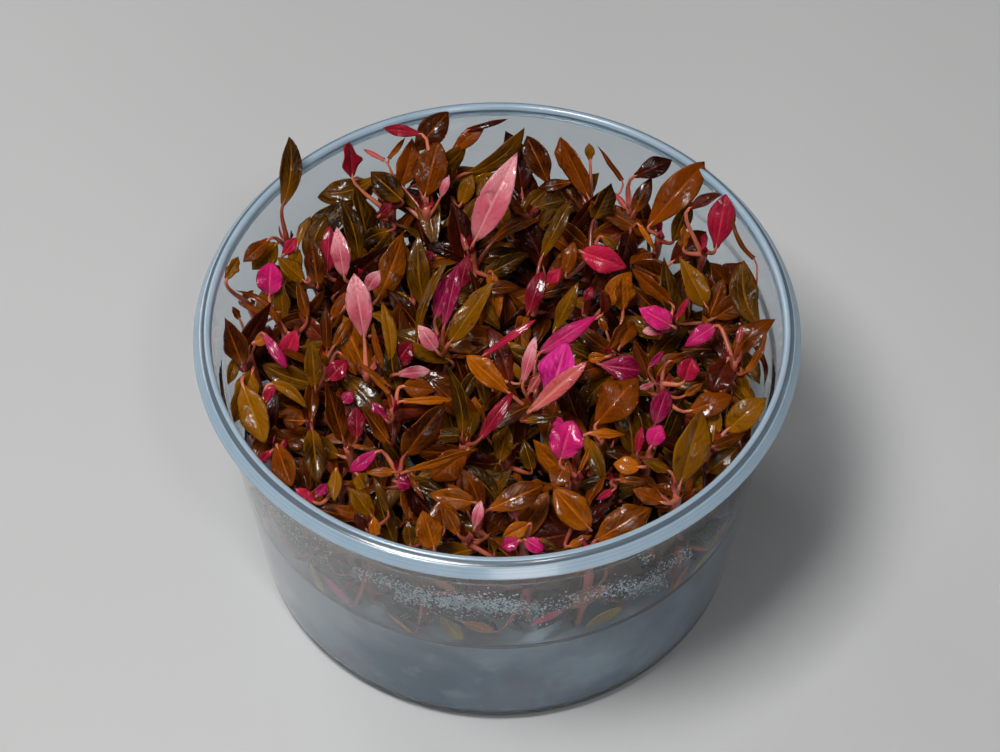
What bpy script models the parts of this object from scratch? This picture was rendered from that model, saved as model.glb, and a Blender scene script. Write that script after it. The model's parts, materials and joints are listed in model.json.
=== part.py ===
"""Alternanthera reineckii plantlets rooted in a tub of milky gel, as a Blender 4.5 script.

Sizes are in millimetres until an object is made. +Z is up and the tub stands centred on the origin.
"""

import math
import random

import bmesh
import bpy
from mathutils import Vector
from mathutils.bvhtree import BVHTree

MM = 0.001

# The tub: a translucent deli-style tub with a rolled rim.
TURN_STEPS = 36
BASE_R = 48.7
WALL_SLOPE = 0.1057
CORNER_R = 3.5
CORNER_STEPS = 2
WALL = 0.9
FLOOR = 1.0

# The rim, and its section from inside to outside: distance in from its edge, and depth below its top.
RIM_R = 58.5
RIM_TOP_Z = 67.7
RIM_EDGE_Z = 64.6
RIM_SECTION = ((3.5, 0.9), (2.9, 0.0), (2.2, 0.1), (1.35, 0.95), (0.0, 3.1), (0.8, 3.2), (1.5, 2.2))
SKIRT_JOIN = 0.1

# The ledge inside the wall that a lid would rest on.
LEDGE_Z = 57.0
LEDGE_R = 53.4
LEDGE_WIDTH = 0.9
LEDGE_HALF_RISE = 0.55
LEDGE_RUN = 5.0

# The gel fills the lower half of the tub.
GAP = 0.3
GEL_TOP_Z = 31.0
MENISCUS = 1.0
MENISCUS_WIDTH = 2.2
GEL_EDGE_EXTRA = 0.1

# The line of sight through a point of the 1000 x 752 picture, from where the picture was taken.
EYE = Vector((0.0, -361.3, 516.3))
EYE_PITCH = math.radians(52.262)
EYE_YAW = math.radians(0.0861)
FOCAL_PX = 3000.0
MIDDLE_PX = (500.0, 376.0)
MM_PER_PX = 0.193

# Stems: where they stand in the gel, and how far they wander.
STEM_R = 0.85
STEM_SIDES = 4
STEM_END = 0.9
STEM_MIDDLE = 0.55
STEM_TOP = 0.5
FOOT_R_MAX = 46.0
FOOT_PULL = 0.93
FOOT_WANDER = 1.5
LEAN = 0.8
CROWN_MARGIN = 2.5
HAIR = 0.001

# Leaves: half sizes of the stalk, and for the blade its thickness, arch and rise towards the tip.
PETIOLE_R = 0.5
STALK_BEND = 0.35
STALK_END = 1.2
ROOTED = 0.5
LEAF_THICK = 0.5
LEAF_SIDES = 3
LEAF_ARCH = 0.1
RISING = 0.85
FALLING = 0.3
BASE_RISE = 2.0
JOINT_DROP = 2.5
JOINT_LOWEST = 0.3
JOINT_STEP = 0.035
BLADE_STATIONS = ((0.36, 0.98), (0.72, 0.76))

# Room: what plantlets keep from each other, the wall, the rim and the gel.
CLEARANCE = 0.16
WALL_GAP = 0.5
RIM_GAP = 0.3
GEL_GAP = 0.2
LEDGE_ABOVE = 1.0
TALLEST = 84.0
ALONG_SIGHT = (0, 1, -1, 2, -2, 3, -3.2, 4.2, -4.6, 5.6, -6.2, 7.4, -8, 9.4, -10, 11.6, 14)
INWARD = (0, 0.8, 1.8, 3.0, 4.5)
NARROWING = (1.0, 0.8, 0.62)
SEED = 11

# Colours of the leaves, and those that are placed first because they catch the eye.
COLOURS = {
    "olive": (0.16, 0.095, 0.012),
    "brown": (0.15, 0.045, 0.01),
    "orange": (0.33, 0.1, 0.012),
    "dark": (0.13, 0.012, 0.01),
    "crimson": (0.35, 0.008, 0.03),
    "magenta": (0.55, 0.01, 0.13),
    "pink": (0.75, 0.16, 0.22),
    "salmon": (0.68, 0.23, 0.15),
}
BRIGHT = ("crimson", "magenta", "pink", "salmon")
LEAF_ROUGHNESS = 0.3

# The tub's and the gel's colour, roughness and alpha.
TUB_LOOK = ((0.62, 0.72, 0.8), 0.25, 0.45)
GEL_LOOK = ((0.55, 0.62, 0.68), 0.3, 0.9)

# One row for each plantlet: its crown's picture point and height in mm, and its leaves. A leaf's row is
# its kind, its tip and the base of its blade as picture points, its width in picture points, and, where
# they aren't zero, how far it is lifted toward the eye in mm and how far its midrib bows sideways.
PLANTLETS = (
    ((281, 238, 57), (
        ("olive", 289, 136, 283, 204, 22, 0, 5), ("crimson", 296, 238, 284, 254, 12),
        ("olive", 252, 270, 276, 244, 25), ("brown", 243, 262, 268, 240, 16, -2))),
    ((236, 303, 55), (
        ("olive", 234, 256, 223, 277, 14), ("brown", 254, 290, 240, 300, 7, 1))),
    ((248, 352, 58), (
        ("orange", 268, 338, 255, 342, 14), ("magenta", 286, 367, 264, 334, 12, 2),
        ("brown", 232, 306, 239, 318, 8), ("brown", 225, 319, 243, 366, 29),
        ("olive", 228, 384, 237, 357, 12, -3), ("olive", 266, 445, 243, 386, 31, 1))),
    ((289, 334, 52), (
        ("crimson", 297, 329, 283, 360, 20, -1), ("brown", 236, 291, 281, 330, 9, 1, 9),
        ("orange", 297, 279, 307, 318, 13), ("magenta", 271, 262, 269, 296, 27, 1))),
    ((313, 268, 54), (
        ("brown", 311, 236, 318, 286, 22), ("olive", 277, 257, 304, 281, 22, 1))),
    ((356, 280, 55), (
        ("olive", 338, 196, 358, 262, 20, 1, 5), ("pink", 337, 228, 344, 276, 20, 3),
        ("crimson", 330, 226, 327, 272, 16, 1), ("pink", 380, 270, 366, 291, 16, 2),
        ("brown", 346, 291, 332, 318, 10), ("olive", 390, 234, 372, 268, 24, -1))),
    ((392, 206, 55), (
        ("olive", 320, 193, 374, 178, 22, 2, -6), ("olive", 371, 172, 402, 200, 25, 1),
        ("crimson", 392, 203, 380, 215, 12), ("crimson", 350, 143, 352, 176, 27, -1),
        ("salmon", 363, 149, 384, 160, 5, -1))),
    ((426, 208, 56), (
        ("brown", 448, 112, 416, 150, 28, 1), ("brown", 438, 142, 425, 196, 33),
        ("crimson", 383, 128, 421, 134, 12), ("orange", 405, 138, 389, 158, 6),
        ("pink", 449, 175, 441, 196, 9, 2))),
    ((448, 176, 56), (
        ("brown", 487, 122, 454, 150, 16, 1), ("dark", 508, 119, 468, 130, 6),
        ("olive", 525, 127, 467, 173, 20, 0, 9), ("olive", 473, 174, 461, 204, 17, -1))),
    ((471, 252, 56), (
        ("pink", 517, 153, 475, 240, 32, 4), ("olive", 497, 173, 469, 200, 26, -2),
        ("salmon", 461, 233, 467, 250, 6))),
    ((528, 220, 54), (
        ("olive", 566, 200, 537, 207, 21, 1), ("brown", 527, 136, 548, 182, 25),
        ("orange", 512, 207, 526, 216, 6))),
    ((592, 212, 54), (
        ("brown", 561, 137, 589, 198, 25), ("olive", 589, 143, 590, 159, 10, -2),
        ("brown", 538, 188, 570, 182, 13), ("brown", 598, 146, 622, 180, 6))),
    ((590, 252, 53), (
        ("olive", 611, 184, 594, 219, 26, 3), ("magenta", 628, 268, 582, 252, 28, 3),
        ("brown", 574, 242, 566, 274, 19), ("olive", 616, 249, 603, 237, 10))),
    ((630, 218, 56), (
        ("dark", 672, 160, 635, 176, 22), ("brown", 652, 177, 634, 212, 17, 1),
        ("dark", 621, 264, 630, 232, 24, -1), ("salmon", 614, 192, 626, 208, 6, 1),
        ("salmon", 628, 182, 629, 206, 6, 1), ("orange", 655, 250, 640, 226, 7))),
    ((660, 236, 55), (
        ("brown", 704, 162, 649, 226, 33, 2), ("olive", 692, 190, 674, 240, 19))),
    ((704, 252, 56), (
        ("magenta", 726, 194, 716, 248, 28, 3), ("orange", 684, 224, 683, 248, 16, 1),
        ("dark", 722, 194, 690, 208, 17))),
    ((752, 336, 55), (
        ("olive", 744, 260, 760, 326, 29, 2, -8), ("brown", 746, 296, 745, 330, 12, 1),
        ("olive", 759, 383, 744, 352, 18, -2), ("dark", 764, 388, 755, 347, 7, 0, -5),
        ("brown", 736, 212, 757, 256, 5, -2, -6))),
    ((734, 362, 59), (
        ("magenta", 685, 346, 714, 326, 18, 3), ("salmon", 742, 326, 738, 342, 7, 3),
        ("dark", 712, 392, 727, 360, 31, 1))),
    ((708, 316, 54), (
        ("brown", 710, 262, 738, 298, 32, -1), ("olive", 679, 257, 706, 306, 25, 2),
        ("brown", 747, 297, 714, 318, 24), ("crimson", 690, 296, 677, 318, 7, 1))),
    ((668, 322, 54), (
        ("brown", 634, 264, 672, 284, 34, -2), ("brown", 632, 268, 672, 304, 20),
        ("magenta", 639, 308, 672, 326, 24, 3), ("pink", 642, 331, 669, 330, 12, 1))),
    ((612, 352, 54), (
        ("orange", 626, 315, 609, 350, 14), ("orange", 588, 358, 605, 357, 12, 1),
        ("magenta", 642, 371, 602, 365, 27, 3), ("orange", 621, 276, 623, 310, 30, -1),
        ("brown", 599, 317, 606, 331, 9))),
    ((584, 316, 53), (
        ("crimson", 592, 287, 585, 302, 11, -1), ("dark", 600, 289, 602, 314, 12, 0, 4),
        ("olive", 579, 281, 554, 331, 17, 1))),
    ((536, 300, 52), (
        ("crimson", 542, 272, 528, 314, 19), ("crimson", 561, 268, 548, 284, 14),
        ("olive", 571, 199, 542, 257, 16, 1))),
    ((536, 398, 56), (
        ("magenta", 598, 315, 541, 352, 18, 2), ("magenta", 567, 342, 550, 402, 42, 1),
        ("salmon", 588, 361, 532, 410, 18, 5), ("pink", 535, 338, 523, 382, 13, 3),
        ("salmon", 542, 372, 529, 392, 10, 2), ("olive", 561, 416, 526, 421, 12, 2),
        ("orange", 466, 355, 508, 392, 24, 1))),
    ((482, 366, 54), (
        ("crimson", 537, 319, 484, 355, 8, 2), ("olive", 514, 362, 521, 380, 9, -2),
        ("olive", 526, 361, 509, 343, 14, -6))),
    ((442, 346, 55), (
        ("magenta", 453, 270, 435, 318, 20, 3), ("magenta", 458, 264, 444, 326, 16, 4),
        ("crimson", 468, 255, 460, 288, 18), ("pink", 418, 325, 436, 350, 17, 3),
        ("olive", 494, 280, 450, 342, 23, 2), ("olive", 451, 257, 418, 342, 10, 0, -8))),
    ((414, 288, 50), (
        ("olive", 436, 270, 423, 283, 12), ("crimson", 434, 252, 420, 263, 12, -1),
        ("olive", 396, 292, 408, 306, 13, -2), ("olive", 387, 273, 380, 298, 14, -2))),
    ((390, 378, 56), (
        ("pink", 431, 371, 399, 374, 14, 3), ("olive", 382, 304, 390, 366, 15, 1, 4),
        ("brown", 373, 322, 386, 370, 8, 0, -3), ("crimson", 412, 341, 396, 364, 22),
        ("orange", 357, 362, 387, 384, 6, 2))),
    ((366, 372, 57), (
        ("pink", 354, 273, 364, 337, 27, 5), ("brown", 378, 352, 372, 372, 9, -3))),
    ((324, 362, 55), (
        ("orange", 352, 317, 334, 346, 13, 1), ("crimson", 346, 361, 329, 379, 20),
        ("brown", 326, 305, 327, 350, 13), ("olive", 311, 340, 315, 388, 19),
        ("brown", 357, 376, 341, 354, 11, 2))),
    ((310, 424, 54), (
        ("orange", 283, 420, 304, 421, 18, 1), ("olive", 318, 485, 312, 430, 24, 3))),
    ((262, 406, 53), (
        ("olive", 307, 410, 271, 384, 13, 1, -6), ("crimson", 274, 384, 266, 402, 12))),
    ((280, 448, 53), (
        ("brown", 292, 488, 277, 446, 25), ("crimson", 258, 464, 270, 452, 10),
        ("brown", 304, 446, 286, 442, 13, -1))),
    ((348, 447, 55), (
        ("brown", 326, 383, 343, 440, 26), ("crimson", 356, 407, 357, 438, 19),
        ("orange", 385, 452, 354, 446, 6, 2))),
    ((345, 404, 52), (
        ("magenta", 353, 392, 344, 402, 14, 1), ("olive", 330, 404, 340, 418, 12, -2))),
    ((338, 478, 53), (
        ("olive", 334, 502, 336, 470, 16, 1), ("magenta", 326, 484, 317, 495, 12),
        ("crimson", 295, 488, 314, 502, 13, 0))),
    ((394, 410, 57), (
        ("orange", 454, 400, 404, 401, 9, 3), ("orange", 366, 371, 390, 394, 5, 1),
        ("magenta", 371, 402, 386, 420, 12, 1), ("brown", 436, 391, 404, 386, 22, -1),
        ("orange", 362, 407, 388, 442, 20, 3))),
    ((400, 474, 56), (
        ("brown", 446, 400, 404, 456, 35, 1), ("orange", 480, 448, 408, 471, 12, 4),
        ("orange", 365, 473, 393, 472, 10, 3), ("magenta", 411, 485, 397, 482, 18, 1),
        ("brown", 425, 501, 409, 477, 6), ("magenta", 350, 472, 376, 452, 15, 1))),
    ((464, 444, 54), (
        ("olive", 445, 362, 462, 436, 17, 1, 6), ("crimson", 513, 392, 480, 439, 15, 2),
        ("brown", 432, 480, 466, 452, 32, 1))),
    ((478, 518, 57), (
        ("orange", 428, 494, 474, 502, 23, 2), ("orange", 544, 485, 490, 509, 28, 3),
        ("pink", 481, 501, 475, 526, 12, 3))),
    ((506, 462, 47), (
        ("olive", 508, 424, 500, 462, 25), ("olive", 524, 440, 532, 470, 16, -1))),
    ((577, 478, 56), (
        ("magenta", 572, 421, 560, 460, 36, 4), ("magenta", 550, 420, 564, 425, 12, 2),
        ("brown", 553, 488, 566, 464, 23, 1), ("orange", 626, 435, 590, 433, 14, 3),
        ("orange", 592, 441, 580, 470, 7, 1))),
    ((574, 520, 54), (
        ("orange", 554, 489, 589, 528, 33, 3), ("orange", 592, 535, 570, 546, 11, 1))),
    ((614, 482, 54), (
        ("orange", 648, 483, 620, 480, 11, 1), ("crimson", 596, 500, 612, 491, 8, 1))),
    ((600, 440, 53), (
        ("brown", 637, 378, 596, 424, 42, 1),)),
    ((650, 452, 55), (
        ("magenta", 667, 389, 655, 424, 22, 3), ("magenta", 661, 425, 651, 446, 20, 2),
        ("crimson", 642, 427, 637, 453, 9), ("orange", 613, 464, 639, 467, 19, 2))),
    ((662, 384, 54), (
        ("crimson", 692, 358, 684, 381, 23, 1), ("pink", 639, 389, 653, 384, 7),
        ("brown", 706, 350, 670, 361, 11), ("magenta", 664, 351, 650, 366, 8, 1),
        ("orange", 704, 383, 686, 395, 9, 1), ("brown", 734, 396, 690, 411, 26, 1))),
    ((678, 494, 56), (
        ("olive", 702, 410, 680, 484, 42, 3), ("olive", 642, 459, 669, 471, 15, 1),
        ("brown", 632, 489, 662, 502, 17))),
    ((716, 444, 56), (
        ("olive", 766, 398, 727, 430, 30), ("olive", 738, 448, 709, 471, 26),
        ("brown", 746, 433, 714, 446, 14))),
    ((592, 548, 58), (
        ("orange", 651, 508, 596, 540, 34, 3),)),
    ((524, 540, 57), (
        ("magenta", 502, 547, 518, 541, 15, 0), ("magenta", 543, 551, 526, 540, 17, 0),
        ("orange", 503, 537, 528, 524, 19, 2), ("pink", 509, 497, 516, 517, 15, 2),
        ("olive", 562, 550, 540, 539, 5, 1))),
    ((426, 540, 56), (
        ("olive", 408, 521, 410, 544, 13), ("orange", 423, 512, 434, 548, 29, 2),
        ("brown", 440, 500, 444, 528, 28))),
    ((370, 520, 55), (
        ("dark", 355, 512, 366, 529, 12, 1), ("orange", 374, 516, 375, 536, 12),
        ("brown", 332, 506, 358, 516, 12, 1), ("olive", 350, 488, 372, 516, 22, -2),
        ("olive", 374, 478, 388, 512, 9))),
    ((466, 540, 55), (
        ("orange", 445, 508, 458, 534, 18, 1), ("olive", 488, 537, 494, 553, 13),
        ("brown", 508, 511, 489, 534, 25, -2))),
)


def sight(px, py):
    """Direction of the line of sight through a picture point."""
    across = (px - MIDDLE_PX[0]) / FOCAL_PX
    up = (MIDDLE_PX[1] - py) / FOCAL_PX
    ahead = math.cos(EYE_PITCH) + math.sin(EYE_PITCH) * up
    rise = math.cos(EYE_PITCH) * up - math.sin(EYE_PITCH)
    turned_x = across * math.cos(EYE_YAW) + ahead * math.sin(EYE_YAW)
    turned_y = ahead * math.cos(EYE_YAW) - across * math.sin(EYE_YAW)
    return Vector((turned_x, turned_y, rise)).normalized()


def seen_at(px, py, z):
    """Point at height z on the line of sight through a picture point."""
    line = sight(px, py)
    return EYE + line * ((z - EYE.z) / line.z)


def outer_radius(z):
    return BASE_R + WALL_SLOPE * z


def room_radius(z):
    """How far from the tub's axis a plantlet may reach at height z."""
    if z < LEDGE_Z + LEDGE_ABOVE:
        return outer_radius(z) - WALL - WALL_GAP
    if z < RIM_TOP_Z + GAP:
        return LEDGE_R + LEDGE_WIDTH
    return RIM_R - RIM_GAP


def material(name, colour, roughness, alpha=1.0):
    """Principled material of one colour."""
    made = bpy.data.materials.new(name)
    made.use_nodes = True
    shader = made.node_tree.nodes["Principled BSDF"]
    shader.inputs["Base Color"].default_value = (*colour, 1.0)
    shader.inputs["Roughness"].default_value = roughness
    shader.inputs["Metallic"].default_value = 0.0
    shader.inputs["Alpha"].default_value = alpha
    return made


def turned(name, profile, collection, mat):
    """Solid turned about Z from its profile, given as (radius, height) points in mm."""
    mesh = bpy.data.meshes.new(name)
    points = [(r * MM, 0.0, z * MM) for r, z in profile]
    mesh.from_pydata(points, [(i, i + 1) for i in range(len(points) - 1)], [])
    made = bpy.data.objects.new(name, mesh)
    collection.objects.link(made)
    screw = made.modifiers.new("Turn", "SCREW")
    screw.steps = TURN_STEPS
    screw.render_steps = TURN_STEPS
    screw.use_merge_vertices = True
    screw.merge_threshold = 0.00001
    screw.use_smooth_shade = True
    mesh.materials.append(mat)
    return made


def corner(radius, floor_z, wall_r):
    """Points of a rounded corner from the wall down to the floor."""
    middle_r = wall_r - radius
    middle_z = floor_z + radius
    points = []
    for step in range(CORNER_STEPS + 1):
        turn = math.pi / 2 * step / CORNER_STEPS
        points.append((middle_r + radius * math.cos(turn), middle_z - radius * math.sin(turn)))
    return points


def build_tub(collection):
    inner_corner = corner(CORNER_R - WALL, FLOOR, outer_radius(CORNER_R) - WALL)
    below_ledge = LEDGE_Z - LEDGE_RUN
    profile = [(0.0, FLOOR)]
    profile += reversed(inner_corner)
    profile.append((outer_radius(below_ledge) - WALL, below_ledge))
    profile.append((LEDGE_R, LEDGE_Z - LEDGE_HALF_RISE))
    profile.append((LEDGE_R + LEDGE_WIDTH, LEDGE_Z + LEDGE_HALF_RISE))
    profile += [(RIM_R - inset, RIM_TOP_Z - depth) for inset, depth in RIM_SECTION]
    profile.append((outer_radius(RIM_EDGE_Z) + SKIRT_JOIN, RIM_EDGE_Z))
    profile += corner(CORNER_R, 0.0, outer_radius(CORNER_R))
    profile.append((0.0, 0.0))
    return turned("tub", profile, collection, material("frosted_plastic", *TUB_LOOK))


def build_gel(collection):
    top_r = outer_radius(GEL_TOP_Z) - WALL - GAP
    bottom = FLOOR + GAP
    radius = CORNER_R - WALL
    profile = [(0.0, GEL_TOP_Z), (top_r - MENISCUS_WIDTH, GEL_TOP_Z)]
    profile.append((top_r + GEL_EDGE_EXTRA, GEL_TOP_Z + MENISCUS))
    profile += corner(radius, bottom, outer_radius(bottom + radius) - WALL - GAP)
    profile.append((0.0, bottom))
    return turned("gel", profile, collection, material("milky_gel", *GEL_LOOK))


def swept(path, half_widths, half_thicks, across, sides):
    """Closed mesh along a path: a sphere of few facets whose rings follow the path.

    The section lies flat across the path and has its ridge on the upper face, and both poles sit on the
    path's ends.
    """
    rings = len(path) - 1
    mesh = bmesh.new()
    bmesh.ops.create_uvsphere(mesh, u_segments=sides, v_segments=rings, radius=1.0)
    widest = math.sin(math.tau * ((sides + 1) // 3) / sides)
    frames = ring_frames(path, across)
    for vert in mesh.verts:
        ring = round(math.acos(max(-1.0, min(1.0, vert.co.z))) / math.pi * rings)
        if math.hypot(vert.co.x, vert.co.y) < 1e-4:
            vert.co = path[ring]
            continue
        side, face = frames[ring]
        turn = math.atan2(vert.co.y, vert.co.x)
        sideways = math.sin(turn) / widest * half_widths[ring]
        vert.co = path[ring] + side * sideways + face * (math.cos(turn) * half_thicks[ring])
    if mesh.calc_volume(signed=True) < 0.0:
        bmesh.ops.reverse_faces(mesh, faces=mesh.faces)
    return mesh


def ring_frames(path, across):
    """Side and face directions at each point of a path, turned along it from its middle."""
    last = len(path) - 1
    tangents = [(path[min(i + 1, last)] - path[max(i - 1, 0)]).normalized() for i in range(last + 1)]
    middle = last // 2 + 1
    side = (across - tangents[middle] * across.dot(tangents[middle])).normalized()
    frames = {middle: (side, tangents[middle].cross(side))}
    for i in range(middle + 1, last + 1):
        frames[i] = carried(frames[i - 1], tangents[i - 1], tangents[i])
    for i in range(middle - 1, -1, -1):
        frames[i] = carried(frames[i + 1], tangents[i + 1], tangents[i])
    return frames


def carried(frame, old_tangent, new_tangent):
    turn = old_tangent.rotation_difference(new_tangent)
    return (turn @ frame[0], turn @ frame[1])


def wander(chance, reach):
    """A random level step of at most reach along each axis."""
    return Vector((chance.uniform(-reach, reach), chance.uniform(-reach, reach), 0.0))


class Stem:
    """A plantlet's stem from the gel up to its crown."""

    def __init__(self, crown_at, chance):
        self.crown = held_in_tub(seen_at(*crown_at), CROWN_MARGIN)
        foot = Vector((self.crown.x, self.crown.y, 0.0)) * FOOT_PULL
        foot += wander(chance, FOOT_WANDER)
        if foot.length > FOOT_R_MAX:
            foot *= FOOT_R_MAX / foot.length
        foot.z = GEL_TOP_Z + GAP
        self.foot = foot
        self.middle = (self.foot + self.crown) / 2 + wander(chance, LEAN)

    def at(self, t):
        """Point of the stem's curve, from 0 at the foot to 1 at the crown."""
        low = self.foot.lerp(self.middle, t)
        high = self.middle.lerp(self.crown, t)
        return low.lerp(high, t)

    def mesh(self, extra=0.0):
        above_foot = self.foot + Vector((0.0, 0.0, HAIR))
        top = self.crown + Vector((0.0, 0.0, STEM_TOP))
        path = [self.foot, above_foot, self.at(STEM_MIDDLE), self.crown, top]
        radii = [0.0, STEM_R + extra, STEM_R + extra, STEM_R * STEM_END + extra, 0.0]
        return swept(path, radii, radii, Vector((1.0, 0.2, 0.0)), STEM_SIDES)


def held_in_tub(point, margin):
    """The point, moved toward the axis until it is inside the tub by a margin."""
    flat = Vector((point.x, point.y))
    limit = room_radius(point.z) - margin
    if flat.length > limit:
        flat *= limit / flat.length
    return Vector((flat.x, flat.y, point.z))


class Leaf:
    """One leaf: its blade lies where the picture shows it, and its stalk runs to the stem."""

    def __init__(self, row, order, crown_z, stem):
        self.kind = row[0]
        self.order = order
        tip_x, tip_y, base_x, base_y, width = row[1:6]
        lift = row[6] if len(row) > 6 else 0.0
        self.bow = row[7] if len(row) > 7 else 0.0
        base_z = crown_z + BASE_RISE
        slope = RISING if base_y > tip_y else FALLING
        tip_z = base_z + slope * (base_y - tip_y) * MM_PER_PX
        self.stem = stem
        self.tip = seen_at(tip_x, tip_y, tip_z)
        self.base = seen_at(base_x, base_y, base_z)
        self.toward = -sight((tip_x + base_x) / 2, (tip_y + base_y) / 2)
        self.tip += self.toward * lift
        self.base += self.toward * lift
        distance = (EYE - self.base).length
        self.half_width = width / 2 * distance / FOCAL_PX

    def path(self, along, inward):
        """Points from inside the stem to the leaf's tip."""
        middle = (self.tip + self.base) / 2
        pull = Vector((-middle.x, -middle.y, 0.0)).normalized() * inward
        shift = self.toward * along + pull
        base = self.base + shift
        tip = self.tip + shift
        length = (tip - base).length
        across = (tip - base).cross(self.toward).normalized()
        face = across.cross((tip - base).normalized())
        bend = face * (LEAF_ARCH * length) + across * (self.bow * MM_PER_PX)
        joint = self.joint(base)
        path = [joint + (joint - base).normalized() * ROOTED, joint.lerp(base, STALK_BEND), base]
        for t, _ in BLADE_STATIONS:
            path.append(base.lerp(tip, t) + bend * (4 * t * (1 - t)))
        path.append(tip)
        return path, across

    def joint(self, base):
        """Where the stalk leaves the stem: below the blade's base, and at the crown at the highest."""
        height = self.stem.crown.z - self.stem.foot.z
        wanted = min(1.0, (base.z - JOINT_DROP - self.stem.foot.z) / height)
        return self.stem.at(max(JOINT_LOWEST, wanted) - JOINT_STEP * self.order)

    def mesh(self, place, extra=0.0):
        along, inward, narrow = place
        path, across = self.path(along, inward)
        half = self.half_width * narrow
        widths = [0.0, PETIOLE_R, PETIOLE_R * STALK_END]
        thicks = [0.0, PETIOLE_R, LEAF_THICK * STALK_END]
        for _, share in BLADE_STATIONS:
            widths.append(max(half * share, PETIOLE_R))
            thicks.append(LEAF_THICK)
        widths = [w + extra for w in widths] + [0.0]
        thicks = [t + extra for t in thicks] + [0.0]
        return swept(path, widths, thicks, across, LEAF_SIDES)


def fits(mesh):
    """Whether every point lies inside the tub and above the gel."""
    for vert in mesh.verts:
        point = vert.co
        if point.z < GEL_TOP_Z + GEL_GAP or point.z > TALLEST:
            return False
        if math.hypot(point.x, point.y) > room_radius(point.z):
            return False
    return True


def crosses_itself(mesh, tree):
    """Whether two faces meet that share no corner."""
    mesh.faces.ensure_lookup_table()
    corners = [{vert.index for vert in face.verts} for face in mesh.faces]
    return any(corners[a].isdisjoint(corners[b]) for a, b in tree.overlap(tree))


def blocked(tree, owner, placed):
    return any(other != owner and tree.overlap(taken) for other, taken in placed)


def place_leaf(leaf, owner, placed):
    """First place near the leaf's own where it meets no other plantlet, or None."""
    for narrow in NARROWING:
        for inward in INWARD:
            for along in ALONG_SIGHT:
                place = (along, inward, narrow)
                mesh = leaf.mesh(place, CLEARANCE)
                if fits(mesh):
                    tree = BVHTree.FromBMesh(mesh)
                    if not blocked(tree, owner, placed) and not crosses_itself(mesh, tree):
                        mesh.free()
                        placed.append((owner, tree))
                        return place
                mesh.free()
    return None


def plan_plantlets():
    """Stems and placed leaves of each plantlet, with the brightest and nearest leaves placed first."""
    chance = random.Random(SEED)
    stems = [Stem(crown_at, chance) for crown_at, _ in PLANTLETS]
    placed = []
    for owner, stem in enumerate(stems):
        mesh = stem.mesh(CLEARANCE)
        placed.append((owner, BVHTree.FromBMesh(mesh)))
        mesh.free()
    queue = []
    for owner, (crown_at, rows) in enumerate(PLANTLETS):
        for order, row in enumerate(rows):
            leaf = Leaf(row, order, crown_at[2], stems[owner])
            queue.append((row[0] not in BRIGHT, -leaf.half_width, owner, leaf))
    queue.sort(key=lambda entry: entry[:3])
    plans = [(stem, []) for stem in stems]
    for _, _, owner, leaf in queue:
        place = place_leaf(leaf, owner, placed)
        if place is None:
            print("no room for a", leaf.kind, "leaf of plantlet", owner + 1)
            continue
        plans[owner][1].append((leaf, place))
    return plans


def object_from(name, mesh, collection):
    """Object of a mesh in mm, which is scaled to metres and freed."""
    bmesh.ops.scale(mesh, vec=(MM, MM, MM), verts=mesh.verts)
    data = bpy.data.meshes.new(name)
    mesh.to_mesh(data)
    mesh.free()
    made = bpy.data.objects.new(name, data)
    collection.objects.link(made)
    return made


def build_plantlet(number, plan, collection, pieces, mats):
    """One plantlet: its leaves fused to its stem."""
    stem, leaves = plan
    name = f"plantlet_{number:02d}"
    trunk = object_from(name + "_stem", stem.mesh(), pieces)
    blades = bpy.data.collections.new(name + "_leaves")
    pieces.children.link(blades)
    for leaf, place in leaves:
        object_from(name + "_leaf", leaf.mesh(place), blades)
    fuse = trunk.modifiers.new("Fuse", "BOOLEAN")
    fuse.operation = "UNION"
    fuse.operand_type = "COLLECTION"
    fuse.collection = blades
    fuse.solver = "EXACT"
    fuse.use_self = True
    kinds = [leaf.kind for leaf, _ in leaves]
    main_kind = max(sorted(set(kinds)), key=kinds.count)
    fused = bpy.data.meshes.new_from_object(trunk.evaluated_get(bpy.context.evaluated_depsgraph_get()))
    fused.name = name
    fused.materials.clear()
    fused.materials.append(mats[main_kind])
    fused.polygons.foreach_set("use_smooth", [False] * len(fused.polygons))
    made = bpy.data.objects.new(name, fused)
    collection.objects.link(made)
    for piece in (trunk, *blades.objects):
        bpy.data.objects.remove(piece)
    bpy.data.collections.remove(blades)
    return made


def main():
    for old in list(bpy.data.objects):
        bpy.data.objects.remove(old)
    scene = bpy.context.scene
    collection = bpy.data.collections.new("alternanthera_reineckii")
    scene.collection.children.link(collection)
    pieces = bpy.data.collections.new("plantlet_pieces")
    scene.collection.children.link(pieces)
    build_tub(collection)
    build_gel(collection)
    mats = {kind: material(kind + "_leaf", colour, LEAF_ROUGHNESS) for kind, colour in COLOURS.items()}
    for number, plan in enumerate(plan_plantlets(), start=1):
        build_plantlet(number, plan, collection, pieces, mats)
    bpy.data.collections.remove(pieces)


main()
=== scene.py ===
"""The looks of an Alternanthera reineckii tub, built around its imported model.

Sizes are in millimetres until a mesh is made. +Z is up and the tub stands centred on the origin.
"""

import json
import math
import random

import bmesh
import bpy
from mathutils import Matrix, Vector
from mathutils.bvhtree import BVHTree

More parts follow.
